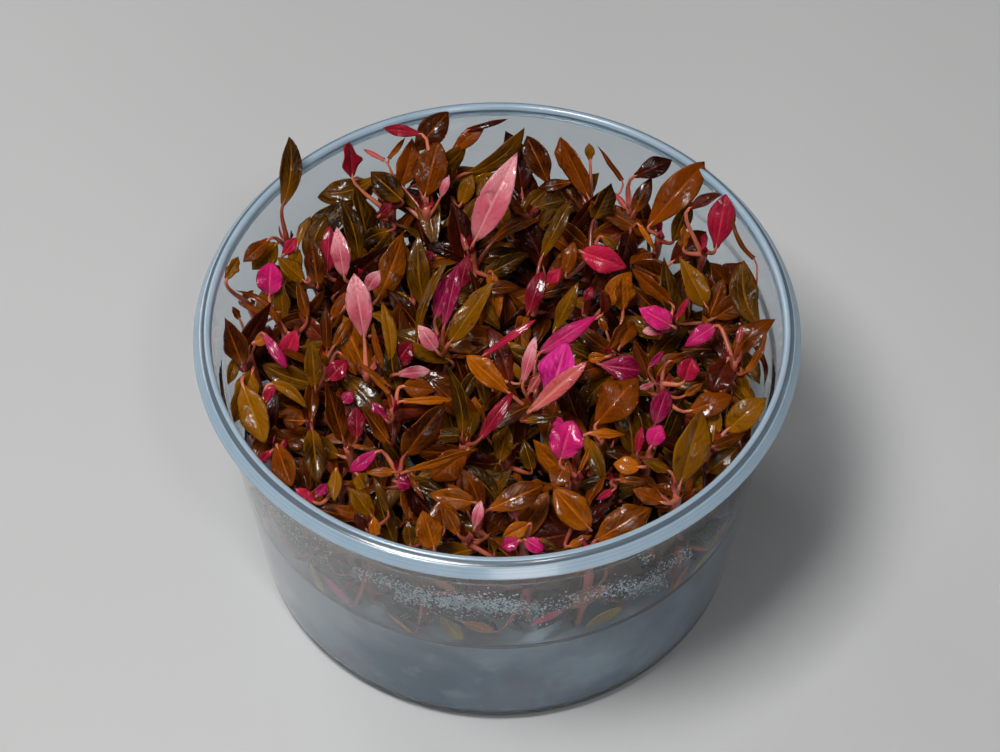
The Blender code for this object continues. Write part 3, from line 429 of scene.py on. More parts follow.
# One row for each plantlet: its crown's picture point and height in mm, and its leaves. A leaf's row is
# its kind, its tip and the base of its blade as picture points, its width in picture points, and, where
# they aren't zero, how far it is lifted toward the eye in mm and how far its midrib bows sideways.
PLANTLETS = (
    ((281, 238, 57), (
        ("olive", 289, 136, 283, 204, 22, 0, 5), ("crimson", 296, 238, 284, 254, 12),
        ("olive", 252, 270, 276, 244, 25), ("brown", 243, 262, 268, 240, 16, -2))),
    ((236, 303, 55), (
        ("olive", 234, 256, 223, 277, 14), ("brown", 254, 290, 240, 300, 7, 1))),
    ((248, 352, 58), (
        ("orange", 268, 338, 255, 342, 14), ("magenta", 286, 367, 264, 334, 12, 2),
        ("brown", 232, 306, 239, 318, 8), ("brown", 225, 319, 243, 366, 29),
        ("olive", 228, 384, 237, 357, 12, -3), ("olive", 266, 445, 243, 386, 31, 1))),
    ((289, 334, 52), (
        ("crimson", 297, 329, 283, 360, 20, -1), ("brown", 236, 291, 281, 330, 9, 1, 9),
        ("orange", 297, 279, 307, 318, 13), ("magenta", 271, 262, 269, 296, 27, 1))),
    ((313, 268, 54), (
        ("brown", 311, 236, 318, 286, 22), ("olive", 277, 257, 304, 281, 22, 1))),
    ((356, 280, 55), (
        ("olive", 338, 196, 358, 262, 20, 1, 5), ("pink", 337, 228, 344, 276, 20, 3),
        ("crimson", 330, 226, 327, 272, 16, 1), ("pink", 380, 270, 366, 291, 16, 2),
        ("brown", 346, 291, 332, 318, 10), ("olive", 390, 234, 372, 268, 24, -1))),
    ((392, 206, 55), (
        ("olive", 320, 193, 374, 178, 22, 2, -6), ("olive", 371, 172, 402, 200, 25, 1),
        ("crimson", 392, 203, 380, 215, 12), ("crimson", 350, 143, 352, 176, 27, -1),
        ("salmon", 363, 149, 384, 160, 5, -1))),
    ((426, 208, 56), (
        ("brown", 448, 112, 416, 150, 28, 1), ("brown", 438, 142, 425, 196, 33),
        ("crimson", 383, 128, 421, 134, 12), ("orange", 405, 138, 389, 158, 6),
        ("pink", 449, 175, 441, 196, 9, 2))),
    ((448, 176, 56), (
        ("brown", 487, 122, 454, 150, 16, 1), ("dark", 508, 119, 468, 130, 6),
        ("olive", 525, 127, 467, 173, 20, 0, 9), ("olive", 473, 174, 461, 204, 17, -1))),
    ((471, 252, 56), (
        ("pink", 517, 153, 475, 240, 32, 4), ("olive", 497, 173, 469, 200, 26, -2),
        ("salmon", 461, 233, 467, 250, 6))),
    ((528, 220, 54), (
        ("olive", 566, 200, 537, 207, 21, 1), ("brown", 527, 136, 548, 182, 25),
        ("orange", 512, 207, 526, 216, 6))),
    ((592, 212, 54), (
        ("brown", 561, 137, 589, 198, 25), ("olive", 589, 143, 590, 159, 10, -2),
        ("brown", 538, 188, 570, 182, 13), ("brown", 598, 146, 622, 180, 6))),
    ((590, 252, 53), (
        ("olive", 611, 184, 594, 219, 26, 3), ("magenta", 628, 268, 582, 252, 28, 3),
        ("brown", 574, 242, 566, 274, 19), ("olive", 616, 249, 603, 237, 10))),
    ((630, 218, 56), (
        ("dark", 672, 160, 635, 176, 22), ("brown", 652, 177, 634, 212, 17, 1),
        ("dark", 621, 264, 630, 232, 24, -1), ("salmon", 614, 192, 626, 208, 6, 1),
        ("salmon", 628, 182, 629, 206, 6, 1), ("orange", 655, 250, 640, 226, 7))),
    ((660, 236, 55), (
        ("brown", 704, 162, 649, 226, 33, 2), ("olive", 692, 190, 674, 240, 19))),
    ((704, 252, 56), (
        ("magenta", 726, 194, 716, 248, 28, 3), ("orange", 684, 224, 683, 248, 16, 1),
        ("dark", 722, 194, 690, 208, 17))),
    ((752, 336, 55), (
        ("olive", 744, 260, 760, 326, 29, 2, -8), ("brown", 746, 296, 745, 330, 12, 1),
        ("olive", 759, 383, 744, 352, 18, -2), ("dark", 764, 388, 755, 347, 7, 0, -5),
        ("brown", 736, 212, 757, 256, 5, -2, -6))),
    ((734, 362, 59), (
        ("magenta", 685, 346, 714, 326, 18, 3), ("salmon", 742, 326, 738, 342, 7, 3),
        ("dark", 712, 392, 727, 360, 31, 1))),
    ((708, 316, 54), (
        ("brown", 710, 262, 738, 298, 32, -1), ("olive", 679, 257, 706, 306, 25, 2),
        ("brown", 747, 297, 714, 318, 24), ("crimson", 690, 296, 677, 318, 7, 1))),
    ((668, 322, 54), (
        ("brown", 634, 264, 672, 284, 34, -2), ("brown", 632, 268, 672, 304, 20),
        ("magenta", 639, 308, 672, 326, 24, 3), ("pink", 642, 331, 669, 330, 12, 1))),
    ((612, 352, 54), (
        ("orange", 626, 315, 609, 350, 14), ("orange", 588, 358, 605, 357, 12, 1),
        ("magenta", 642, 371, 602, 365, 27, 3), ("orange", 621, 276, 623, 310, 30, -1),
        ("brown", 599, 317, 606, 331, 9))),
    ((584, 316, 53), (
        ("crimson", 592, 287, 585, 302, 11, -1), ("dark", 600, 289, 602, 314, 12, 0, 4),
        ("olive", 579, 281, 554, 331, 17, 1))),
    ((536, 300, 52), (
        ("crimson", 542, 272, 528, 314, 19), ("crimson", 561, 268, 548, 284, 14),
        ("olive", 571, 199, 542, 257, 16, 1))),
    ((536, 398, 56), (
        ("magenta", 598, 315, 541, 352, 18, 2), ("magenta", 567, 342, 550, 402, 42, 1),
        ("salmon", 588, 361, 532, 410, 18, 5), ("pink", 535, 338, 523, 382, 13, 3),
        ("salmon", 542, 372, 529, 392, 10, 2), ("olive", 561, 416, 526, 421, 12, 2),
        ("orange", 466, 355, 508, 392, 24, 1))),
    ((482, 366, 54), (
        ("crimson", 537, 319, 484, 355, 8, 2), ("olive", 514, 362, 521, 380, 9, -2),
        ("olive", 526, 361, 509, 343, 14, -6))),
    ((442, 346, 55), (
        ("magenta", 453, 270, 435, 318, 20, 3), ("magenta", 458, 264, 444, 326, 16, 4),
        ("crimson", 468, 255, 460, 288, 18), ("pink", 418, 325, 436, 350, 17, 3),
        ("olive", 494, 280, 450, 342, 23, 2), ("olive", 451, 257, 418, 342, 10, 0, -8))),
    ((414, 288, 50), (
        ("olive", 436, 270, 423, 283, 12), ("crimson", 434, 252, 420, 263, 12, -1),
        ("olive", 396, 292, 408, 306, 13, -2), ("olive", 387, 273, 380, 298, 14, -2))),
    ((390, 378, 56), (
        ("pink", 431, 371, 399, 374, 14, 3), ("olive", 382, 304, 390, 366, 15, 1, 4),
        ("brown", 373, 322, 386, 370, 8, 0, -3), ("crimson", 412, 341, 396, 364, 22),
        ("orange", 357, 362, 387, 384, 6, 2))),
    ((366, 372, 57), (
        ("pink", 354, 273, 364, 337, 27, 5), ("brown", 378, 352, 372, 372, 9, -3))),
    ((324, 362, 55), (
        ("orange", 352, 317, 334, 346, 13, 1), ("crimson", 346, 361, 329, 379, 20),
        ("brown", 326, 305, 327, 350, 13), ("olive", 311, 340, 315, 388, 19),
        ("brown", 357, 376, 341, 354, 11, 2))),
    ((310, 424, 54), (
        ("orange", 283, 420, 304, 421, 18, 1), ("olive", 318, 485, 312, 430, 24, 3))),
    ((262, 406, 53), (
        ("olive", 307, 410, 271, 384, 13, 1, -6), ("crimson", 274, 384, 266, 402, 12))),
    ((280, 448, 53), (
        ("brown", 292, 488, 277, 446, 25), ("crimson", 258, 464, 270, 452, 10),
        ("brown", 304, 446, 286, 442, 13, -1))),
    ((348, 447, 55), (
        ("brown", 326, 383, 343, 440, 26), ("crimson", 356, 407, 357, 438, 19),
        ("orange", 385, 452, 354, 446, 6, 2))),
    ((345, 404, 52), (
        ("magenta", 353, 392, 344, 402, 14, 1), ("olive", 330, 404, 340, 418, 12, -2))),
    ((338, 478, 53), (
        ("olive", 334, 502, 336, 470, 16, 1), ("magenta", 326, 484, 317, 495, 12),
        ("crimson", 295, 488, 314, 502, 13, 0))),
    ((394, 410, 57), (
        ("orange", 454, 400, 404, 401, 9, 3), ("orange", 366, 371, 390, 394, 5, 1),
        ("magenta", 371, 402, 386, 420, 12, 1), ("brown", 436, 391, 404, 386, 22, -1),
        ("orange", 362, 407, 388, 442, 20, 3))),
    ((400, 474, 56), (
        ("brown", 446, 400, 404, 456, 35, 1), ("orange", 480, 448, 408, 471, 12, 4),
        ("orange", 365, 473, 393, 472, 10, 3), ("magenta", 411, 485, 397, 482, 18, 1),
        ("brown", 425, 501, 409, 477, 6), ("magenta", 350, 472, 376, 452, 15, 1))),
    ((464, 444, 54), (
        ("olive", 445, 362, 462, 436, 17, 1, 6), ("crimson", 513, 392, 480, 439, 15, 2),
        ("brown", 432, 480, 466, 452, 32, 1))),
    ((478, 518, 57), (
        ("orange", 428, 494, 474, 502, 23, 2), ("orange", 544, 485, 490, 509, 28, 3),
        ("pink", 481, 501, 475, 526, 12, 3))),
    ((506, 462, 47), (
        ("olive", 508, 424, 500, 462, 25), ("olive", 524, 440, 532, 470, 16, -1))),
    ((577, 478, 56), (
        ("magenta", 572, 421, 560, 460, 36, 4), ("magenta", 550, 420, 564, 425, 12, 2),
        ("brown", 553, 488, 566, 464, 23, 1), ("orange", 626, 435, 590, 433, 14, 3),
        ("orange", 592, 441, 580, 470, 7, 1))),
    ((574, 520, 54), (
        ("orange", 554, 489, 589, 528, 33, 3), ("orange", 592, 535, 570, 546, 11, 1))),
    ((614, 482, 54), (
        ("orange", 648, 483, 620, 480, 11, 1), ("crimson", 596, 500, 612, 491, 8, 1))),
    ((600, 440, 53), (
        ("brown", 637, 378, 596, 424, 42, 1),)),
    ((650, 452, 55), (
        ("magenta", 667, 389, 655, 424, 22, 3), ("magenta", 661, 425, 651, 446, 20, 2),
        ("crimson", 642, 427, 637, 453, 9), ("orange", 613, 464, 639, 467, 19, 2))),
    ((662, 384, 54), (
        ("crimson", 692, 358, 684, 381, 23, 1), ("pink", 639, 389, 653, 384, 7),
        ("brown", 706, 350, 670, 361, 11), ("magenta", 664, 351, 650, 366, 8, 1),
        ("orange", 704, 383, 686, 395, 9, 1), ("brown", 734, 396, 690, 411, 26, 1))),
    ((678, 494, 56), (
        ("olive", 702, 410, 680, 484, 42, 3), ("olive", 642, 459, 669, 471, 15, 1),
        ("brown", 632, 489, 662, 502, 17))),
    ((716, 444, 56), (
        ("olive", 766, 398, 727, 430, 30), ("olive", 738, 448, 709, 471, 26),
        ("brown", 746, 433, 714, 446, 14))),
    ((592, 548, 58), (
        ("orange", 651, 508, 596, 540, 34, 3),)),
    ((524, 540, 57), (
        ("magenta", 502, 547, 518, 541, 15, 0), ("magenta", 543, 551, 526, 540, 17, 0),
        ("orange", 503, 537, 528, 524, 19, 2), ("pink", 509, 497, 516, 517, 15, 2),
        ("olive", 562, 550, 540, 539, 5, 1))),
    ((426, 540, 56), (
        ("olive", 408, 521, 410, 544, 13), ("orange", 423, 512, 434, 548, 29, 2),
        ("brown", 440, 500, 444, 528, 28))),
    ((370, 520, 55), (
        ("dark", 355, 512, 366, 529, 12, 1), ("orange", 374, 516, 375, 536, 12),
        ("brown", 332, 506, 358, 516, 12, 1), ("olive", 350, 488, 372, 516, 22, -2),
        ("olive", 374, 478, 388, 512, 9))),
    ((466, 540, 55), (
        ("orange", 445, 508, 458, 534, 18, 1), ("olive", 488, 537, 494, 553, 13),
        ("brown", 508, 511, 489, 534, 25, -2))),
)


def sight(px, py):
    """Direction of the line of sight through a picture point."""
    across = (px - MIDDLE_PX[0]) / FOCAL_PX
    up = (MIDDLE_PX[1] - py) / FOCAL_PX
    ahead = math.cos(EYE_PITCH) + math.sin(EYE_PITCH) * up
    rise = math.cos(EYE_PITCH) * up - math.sin(EYE_PITCH)
    turned_x = across * math.cos(EYE_YAW) + ahead * math.sin(EYE_YAW)
    turned_y = ahead * math.cos(EYE_YAW) - across * math.sin(EYE_YAW)
    return Vector((turned_x, turned_y, rise)).normalized()


def seen_at(px, py, z):
    """Point at height z on the line of sight through a picture point."""
    line = sight(px, py)
    return EYE + line * ((z - EYE.z) / line.z)


def outer_radius(z):
    return BASE_R + WALL_SLOPE * z


def room_radius(z):
    """How far from the tub's axis a plantlet may reach at height z."""
    if z < LEDGE_Z + LEDGE_ABOVE:
        return outer_radius(z) - WALL - WALL_GAP
    if z < RIM_TOP_Z + GAP:
        return LEDGE_R + LEDGE_WIDTH
    return RIM_R - RIM_GAP


def swept(path, half_widths, half_thicks, across, sides):
    """Closed mesh along a path: a sphere of few facets whose rings follow the path.

    The section lies flat across the path and has its ridge on the upper face, and both poles sit on the
    path's ends.
    """
    rings = len(path) - 1
    mesh = bmesh.new()
    bmesh.ops.create_uvsphere(mesh, u_segments=sides, v_segments=rings, radius=1.0)
    widest = math.sin(math.tau * ((sides + 1) // 3) / sides)
    frames = ring_frames(path, across)
    for vert in mesh.verts:
        ring = round(math.acos(max(-1.0, min(1.0, vert.co.z))) / math.pi * rings)
        if math.hypot(vert.co.x, vert.co.y) < 1e-4:
            vert.co = path[ring]
            continue
        side, face = frames[ring]
        turn = math.atan2(vert.co.y, vert.co.x)
        sideways = math.sin(turn) / widest * half_widths[ring]
        vert.co = path[ring] + side * sideways + face * (math.cos(turn) * half_thicks[ring])
    if mesh.calc_volume(signed=True) < 0.0:
        bmesh.ops.reverse_faces(mesh, faces=mesh.faces)
    return mesh


def tangents_of(path):
    """Direction of a path at each of its points."""
    last = len(path) - 1
    return [(path[min(i + 1, last)] - path[max(i - 1, 0)]).normalized() for i in range(last + 1)]


def ring_frames(path, across):
    """Side and face directions at each point of a path, turned along it from its middle."""
    tangents = tangents_of(path)
    last = len(path) - 1
    middle = last // 2 + 1
    side = (across - tangents[middle] * across.dot(tangents[middle])).normalized()
    frames = {middle: (side, tangents[middle].cross(side))}
    for i in range(middle + 1, last + 1):
        frames[i] = carried(frames[i - 1], tangents[i - 1], tangents[i])
    for i in range(middle - 1, -1, -1):
        frames[i] = carried(frames[i + 1], tangents[i + 1], tangents[i])
    return frames


def carried(frame, old_tangent, new_tangent):
    turn = old_tangent.rotation_difference(new_tangent)
    return (turn @ frame[0], turn @ frame[1])


def wander(chance, reach):
    """A random level step of at most reach along each axis."""
    return Vector((chance.uniform(-reach, reach), chance.uniform(-reach, reach), 0.0))


class Stem:
    """A plantlet's stem from the gel up to its crown."""

    def __init__(self, crown_at, chance):
        self.crown = held_in_tub(seen_at(*crown_at), CROWN_MARGIN)
        foot = Vector((self.crown.x, self.crown.y, 0.0)) * FOOT_PULL
        foot += wander(chance, FOOT_WANDER)
        if foot.length > FOOT_R_MAX:
            foot *= FOOT_R_MAX / foot.length
        foot.z = GEL_TOP_Z + GAP
        self.foot = foot
        self.middle = (self.foot + self.crown) / 2 + wander(chance, LEAN)

    def at(self, t):
        """Point of the stem's curve, from 0 at the foot to 1 at the crown."""
        low = self.foot.lerp(self.middle, t)
        high = self.middle.lerp(self.crown, t)
        return low.lerp(high, t)

    def mesh(self, extra=0.0):
        above_foot = self.foot + UP * HAIR
        top = self.crown + UP * STEM_TOP
        path = [self.foot, above_foot, self.at(STEM_MIDDLE), self.crown, top]
        radii = [0.0, STEM_R + extra, STEM_R + extra, STEM_R * STEM_END + extra, 0.0]
        return swept(path, radii, radii, Vector((1.0, 0.2, 0.0)), STEM_SIDES)


def held_in_tub(point, margin):
    """The point, moved toward the axis until it is inside the tub by a margin."""
    flat = Vector((point.x, point.y))
    limit = room_radius(point.z) - margin
    if flat.length > limit:
        flat *= limit / flat.length
    return Vector((flat.x, flat.y, point.z))


class Leaf:
    """One leaf: its blade lies where the picture shows it, and its stalk runs to the stem."""

    def __init__(self, row, order, crown_z, stem):
        self.kind = row[0]
        self.order = order
        tip_x, tip_y, base_x, base_y, width = row[1:6]
        lift = row[6] if len(row) > 6 else 0.0
        self.bow = row[7] if len(row) > 7 else 0.0
        base_z = crown_z + BASE_RISE
        slope = RISING if base_y > tip_y else FALLING
        tip_z = base_z + slope * (base_y - tip_y) * MM_PER_PX
        self.stem = stem
        self.tip_at = (tip_x, tip_y)
        self.tip = seen_at(tip_x, tip_y, tip_z)
        self.base = seen_at(base_x, base_y, base_z)
        self.toward = -sight((tip_x + base_x) / 2, (tip_y + base_y) / 2)
        self.tip += self.toward * lift
        self.base += self.toward * lift
        distance = (EYE - self.base).length
        self.half_width = width / 2 * distance / FOCAL_PX

    def path(self, along, inward):
        """Points from inside the stem to the leaf's tip."""
        middle = (self.tip + self.base) / 2
        pull = Vector((-middle.x, -middle.y, 0.0)).normalized() * inward
        shift = self.toward * along + pull
        base = self.base + shift
        tip = self.tip + shift
        length = (tip - base).length
        across = (tip - base).cross(self.toward).normalized()
        face = across.cross((tip - base).normalized())
        bend = face * (LEAF_ARCH * length) + across * (self.bow * MM_PER_PX)
        joint = self.joint(base)
        path = [joint + (joint - base).normalized() * ROOTED, joint.lerp(base, STALK_BEND), base]
        for t, _ in BLADE_STATIONS:
            path.append(base.lerp(tip, t) + bend * (4 * t * (1 - t)))
        path.append(tip)
        return path, across

    def joint(self, base):
        """Where the stalk leaves the stem: below the blade's base, and at the crown at the highest."""
        height = self.stem.crown.z - self.stem.foot.z
        wanted = min(1.0, (base.z - JOINT_DROP - self.stem.foot.z) / height)
        return self.stem.at(max(JOINT_LOWEST, wanted) - JOINT_STEP * self.order)

    def mesh(self, place, extra=0.0):
        along, inward, narrow = place
        path, across = self.path(along, inward)
        half = self.half_width * narrow
        widths = [0.0, PETIOLE_R, PETIOLE_R * STALK_END]
        thicks = [0.0, PETIOLE_R, LEAF_THICK * STALK_END]
        for _, share in BLADE_STATIONS:
            widths.append(max(half * share, PETIOLE_R))
            thicks.append(LEAF_THICK)
        widths = [w + extra for w in widths] + [0.0]
        thicks = [t + extra for t in thicks] + [0.0]
        return swept(path, widths, thicks, across, LEAF_SIDES)


def fits(mesh):
    """Whether every point lies inside the tub and above the gel."""
    for vert in mesh.verts:
        point = vert.co
        if point.z < GEL_TOP_Z + GEL_GAP or point.z > TALLEST:
            return False
        if math.hypot(point.x, point.y) > room_radius(point.z):
            return False
    return True


def crosses_itself(mesh, tree):
    """Whether two faces meet that share no corner."""
    mesh.faces.ensure_lookup_table()
    corners = [{vert.index for vert in face.verts} for face in mesh.faces]
    return any(corners[a].isdisjoint(corners[b]) for a, b in tree.overlap(tree))


def blocked(tree, owner, placed):
    return any(other != owner and tree.overlap(taken) for other, taken in placed)


def place_leaf(leaf, owner, placed):
    """First place near the leaf's own where it meets no other plantlet, or None."""
    for narrow in NARROWING:
        for inward in INWARD:
            for along in ALONG_SIGHT:
                place = (along, inward, narrow)
                mesh = leaf.mesh(place, CLEARANCE)
                if fits(mesh):
                    tree = BVHTree.FromBMesh(mesh)
                    if not blocked(tree, owner, placed) and not crosses_itself(mesh, tree):
                        mesh.free()
                        placed.append((owner, tree))
                        return place
                mesh.free()
    return None


def plan_plantlets():
    """Stems and placed leaves of each plantlet, with the brightest and nearest leaves placed first."""
    chance = random.Random(SEED)
    stems = [Stem(crown_at, chance) for crown_at, _ in PLANTLETS]
    placed = []
    for owner, stem in enumerate(stems):
        mesh = stem.mesh(CLEARANCE)
        placed.append((owner, BVHTree.FromBMesh(mesh)))
        mesh.free()
    queue = []
    for owner, (crown_at, rows) in enumerate(PLANTLETS):
        for order, row in enumerate(rows):
            leaf = Leaf(row, order, crown_at[2], stems[owner])
            queue.append((row[0] not in BRIGHT, -leaf.half_width, owner, leaf))
    queue.sort(key=lambda entry: entry[:3])
    plans = [(stem, []) for stem in stems]
    for _, _, owner, leaf in queue:
        place = place_leaf(leaf, owner, placed)
        if place is not None:
            plans[owner][1].append((leaf, place))
    return plans


def picture_point(point):
    """Where a point is seen in the picture."""
    ahead = Vector((math.sin(EYE_YAW), math.cos(EYE_YAW), 0.0))
    right = Vector((math.cos(EYE_YAW), -math.sin(EYE_YAW), 0.0))
    forward = ahead * math.cos(EYE_PITCH) - UP * math.sin(EYE_PITCH)
    up = ahead * math.sin(EYE_PITCH) + UP * math.cos(EYE_PITCH)
    offset = point - EYE
    depth = offset.dot(forward)
    px = MIDDLE_PX[0] + FOCAL_PX * offset.dot(right) / depth
    py = MIDDLE_PX[1] - FOCAL_PX * offset.dot(up) / depth
    return px, py


def wall_point(px, py, inset):
    """Where the line of sight meets the wall's near side, this far inside its outer face, or None."""
    line = sight(px, py)
    start = BASE_R - inset + WALL_SLOPE * EYE.z
    slope = WALL_SLOPE * line.z
    a = line.x ** 2 + line.y ** 2 - slope ** 2
    b = 2 * (EYE.x * line.x + EYE.y * line.y - start * slope)
    c = EYE.x ** 2 + EYE.y ** 2 - start ** 2
    under_root = b * b - 4 * a * c
    if under_root < 0.0:
        return None
    return EYE + line * ((-b - math.sqrt(under_root)) / (2 * a))


class Blade:
    """The fine shape of one leaf's blade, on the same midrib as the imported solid's."""

    def __init__(self, kind, base, tip, across, half_width, bow, chance):
        self.kind = kind
        self.base = base
        self.tip = tip
        self.half_width = half_width
        self.length = (tip - base).length
        self.direction = (tip - base).normalized()
        self.across = (across - self.direction * across.dot(self.direction)).normalized()
        self.face = self.across.cross(self.direction)
        self.bend = self.face * (LEAF_ARCH * self.length) + self.across * (bow * MM_PER_PX)
        calm = CALM if kind in BRIGHT else 1.0
        self.roll = chance.uniform(-ROLL, ROLL) * calm
        self.twist = chance.uniform(-TWIST, TWIST) * calm
        self.fold = chance.uniform(*FOLD)
        self.wave = chance.uniform(*WAVE)
        self.waves = chance.uniform(*WAVES)
        self.phase = chance.uniform(0.0, 1.0)
        self.curl = chance.uniform(*CURL)
        self.cup = chance.uniform(*CUP)
        self.tone = chance.random()
        self.taper = (chance.uniform(*BASE_TAPER), chance.uniform(*TIP_TAPER))

    def press(self, inward):
        """Flattens the blade against the wall."""
        self.roll = self.twist = self.cup = self.curl = 0.0
        self.fold = PRESSED_FOLD
        self.wave = PRESSED_WAVE
        self.bend = inward * PRESSED_BEND
        self.taper = PRESSED_TAPER

    def midrib(self, t):
        point = self.base.lerp(self.tip, t) + self.bend * (4 * t * (1 - t))
        return point + self.face * (self.curl * self.length * t ** 3)

    def half_width_at(self, t):
        """Half width at t: tapered into the stalk, widest near the middle, and pointed at the tip."""
        low, high = self.taper
        widest = low / (low + high)
        peak = widest ** low * (1.0 - widest) ** high
        return self.half_width * t ** low * (1.0 - t) ** high / peak + STALK_R * (1.0 - t) ** 5

    def frame(self, t):
        """Midrib point, side and face directions, and half width at t along the blade."""
        low, high = max(0.0, t - TANGENT_STEP), min(1.0, t + TANGENT_STEP)
        tangent = (self.midrib(high) - self.midrib(low)).normalized()
        side = (self.across - tangent * self.across.dot(tangent)).normalized()
        face = side.cross(tangent)
        turn = self.roll + self.twist * t
        turned_side = side * math.cos(turn) + face * math.sin(turn)
        turned_face = face * math.cos(turn) - side * math.sin(turn)
        return self.midrib(t), turned_side, turned_face, self.half_width_at(t)

    def rise(self, t, u, width):
        """How far the blade's middle surface stands off its midrib plane."""
        edge = abs(u)
        lift = self.fold * width * edge * (1.0 - 0.5 * edge)
        lift += self.cup * width * edge ** 2 * t
        swing = math.sin(math.tau * (self.waves * t + self.phase) + (EDGES_APART if u > 0 else 0.0))
        return lift + self.wave * width * edge ** 2 * swing

    def points(self, t, u, frame):
        """Points of the upper and the lower surface, which are one at the edges."""
        middle, side, face, width = frame
        rib = math.exp(-(u / MIDRIB_HALF_WIDTH) ** 2) * (1.0 - t) * min(1.0, width / FULL_MIDRIB)
        thick = BLADE_HALF_THICK * (1.0 - u * u) * min(1.0, width / FULL_THICKNESS)
        spot = middle + side * (width * u) + face * self.rise(t, u, width)
        return spot + face * (thick - MIDRIB_DEPTH * rib), spot - face * (thick + MIDRIB_RIDGE * rib)


def new_object(name, data):
    """Object of this data, in the scene."""
    made = bpy.data.objects.new(name, data)
    bpy.context.scene.collection.objects.link(made)
    return made


def smooth_object(name, mesh):
    """Object of a mesh that is shaded smooth."""
    mesh.polygons.foreach_set("use_smooth", [True] * len(mesh.polygons))
    return new_object(name, mesh)


class Sheet:
    """A mesh in the making: corners, faces, each face's material and each corner's place on its leaf."""

    def __init__(self):
        self.corners = []
        self.faces = []
        self.kinds = []
        self.places = []
        self.tones = []

    def corner(self, point, place, tone):
        self.corners.append(point)
        self.places.append(place)
        self.tones.append(tone)
        return len(self.corners) - 1

    def face(self, corners, kind):
        self.faces.append(corners)
        self.kinds.append(kind)

    def object(self, name, mats):
        """Object of the mesh, in metres, with the materials that its faces use."""
        mesh = bpy.data.meshes.new(name)
        mesh.from_pydata([c * MM for c in self.corners], [], self.faces)
        used = sorted(set(self.kinds))
        for kind in used:
            mesh.materials.append(mats[kind])
        mesh.polygons.foreach_set("material_index", [used.index(kind) for kind in self.kinds])
        layer = mesh.uv_layers.new(name="leaf")
        flat = []
        for loop in mesh.loops:
            flat.extend(self.places[loop.vertex_index])
        layer.data.foreach_set("uv", flat)
        tone = mesh.attributes.new("tone", "FLOAT", "POINT")
        tone.data.foreach_set("value", self.tones)
        return smooth_object(name, mesh)


def quad(rows, row, column):
    """Corners of the face between a row of corners and the next, at a column."""
    near, far = rows[row], rows[row + 1]
    return near[column], near[column + 1], far[column + 1], far[column]


def add_blade(sheet, blade):
    """A closed blade, whose upper and lower surface meet along its edge."""
    under = "underside" if blade.kind in ("olive", "brown", "orange", "dark") else blade.kind
    # The nearly black low leaves, whose colour is painted shade, get the plainer cut.
    rows, columns = PLAIN_CUT if blade.kind == "deep" else FINE_CUT
    last = len(columns) - 1
    upper_rows = []
    lower_rows = []
    for row in range(rows):
        t = (row / rows) ** ROW_SPACING
        frame = blade.frame(t)
        upper = []
        lower = []
        for column, u in enumerate(columns):
            place = (0.5 + u / 2, t)
            above, below = blade.points(t, u, frame)
            upper.append(sheet.corner(above, place, blade.tone))
            is_edge = column in (0, last)
            lower.append(upper[-1] if is_edge else sheet.corner(below, place, blade.tone))
        upper_rows.append(upper)
        lower_rows.append(lower)
    tip = sheet.corner(blade.midrib(1.0), (0.5, 1.0), blade.tone)
    for row in range(rows - 1):
        for column in range(last):
            sheet.face(quad(upper_rows, row, column), blade.kind)
            sheet.face(quad(lower_rows, row, column)[::-1], under)
    for column in range(last):
        sheet.face((upper_rows[-1][column], upper_rows[-1][column + 1], tip), blade.kind)
        sheet.face((tip, lower_rows[-1][column + 1], lower_rows[-1][column]), under)
    sheet.face(tuple(lower_rows[0] + upper_rows[0][-2:0:-1]), blade.kind)


def add_tube(sheet, path, radii, kind, tone):
    """A closed tube along a path."""
    last = len(path) - 1
    tangents = tangents_of(path)
    side = tangents[0].orthogonal().normalized()
    rings = []
    for i, point in enumerate(path):
        side = (side - tangents[i] * side.dot(tangents[i])).normalized()
        face = tangents[i].cross(side)
        ring = []
        for k in range(TUBE_SIDES):
            turn = math.tau * k / TUBE_SIDES
            offset = side * math.cos(turn) + face * math.sin(turn)
            ring.append(sheet.corner(point + offset * radii[i], (k / TUBE_SIDES, i / last), tone))
        rings.append(ring)
    for low, high in zip(rings, rings[1:]):
        for k in range(TUBE_SIDES):
            after = (k + 1) % TUBE_SIDES
            sheet.face((low[k], low[after], high[after], high[k]), kind)
    sheet.face(tuple(reversed(rings[0])), kind)
    sheet.face(tuple(rings[-1]), kind)


def bezier(a, b, c, d, t):
    s = 1.0 - t
    return a * s ** 3 + b * (3 * s * s * t) + c * (3 * s * t * t) + d * t ** 3


def add_stalk(sheet, joint, blade):
    """The stalk from the stem to a blade's base, which it meets along the midrib."""
    reach = (blade.base - joint).length
    ahead = (blade.midrib(STALK_AHEAD) - blade.midrib(0.0)).normalized()
    leave = joint.lerp(blade.base, STALK_PULL)
    arrive = blade.base - ahead * min(reach * STALK_PULL, STALK_MOST_PULL)
    ends = (joint, leave, arrive, blade.base)
    path = [bezier(*ends, i / STALK_RINGS) for i in range(STALK_RINGS + 1)]
    path.append(blade.midrib(STALK_MEETS))
    radius = min(STALK_R, blade.half_width * STALK_SHARE + STALK_LEAST)
    start, fall = STALK_TAPER
    radii = [radius * (start - fall * i) for i in range(STALK_RINGS)]
    radii += [radius * share for share in STALK_ENDS]
    add_tube(sheet, path, radii, "stalk", blade.tone)


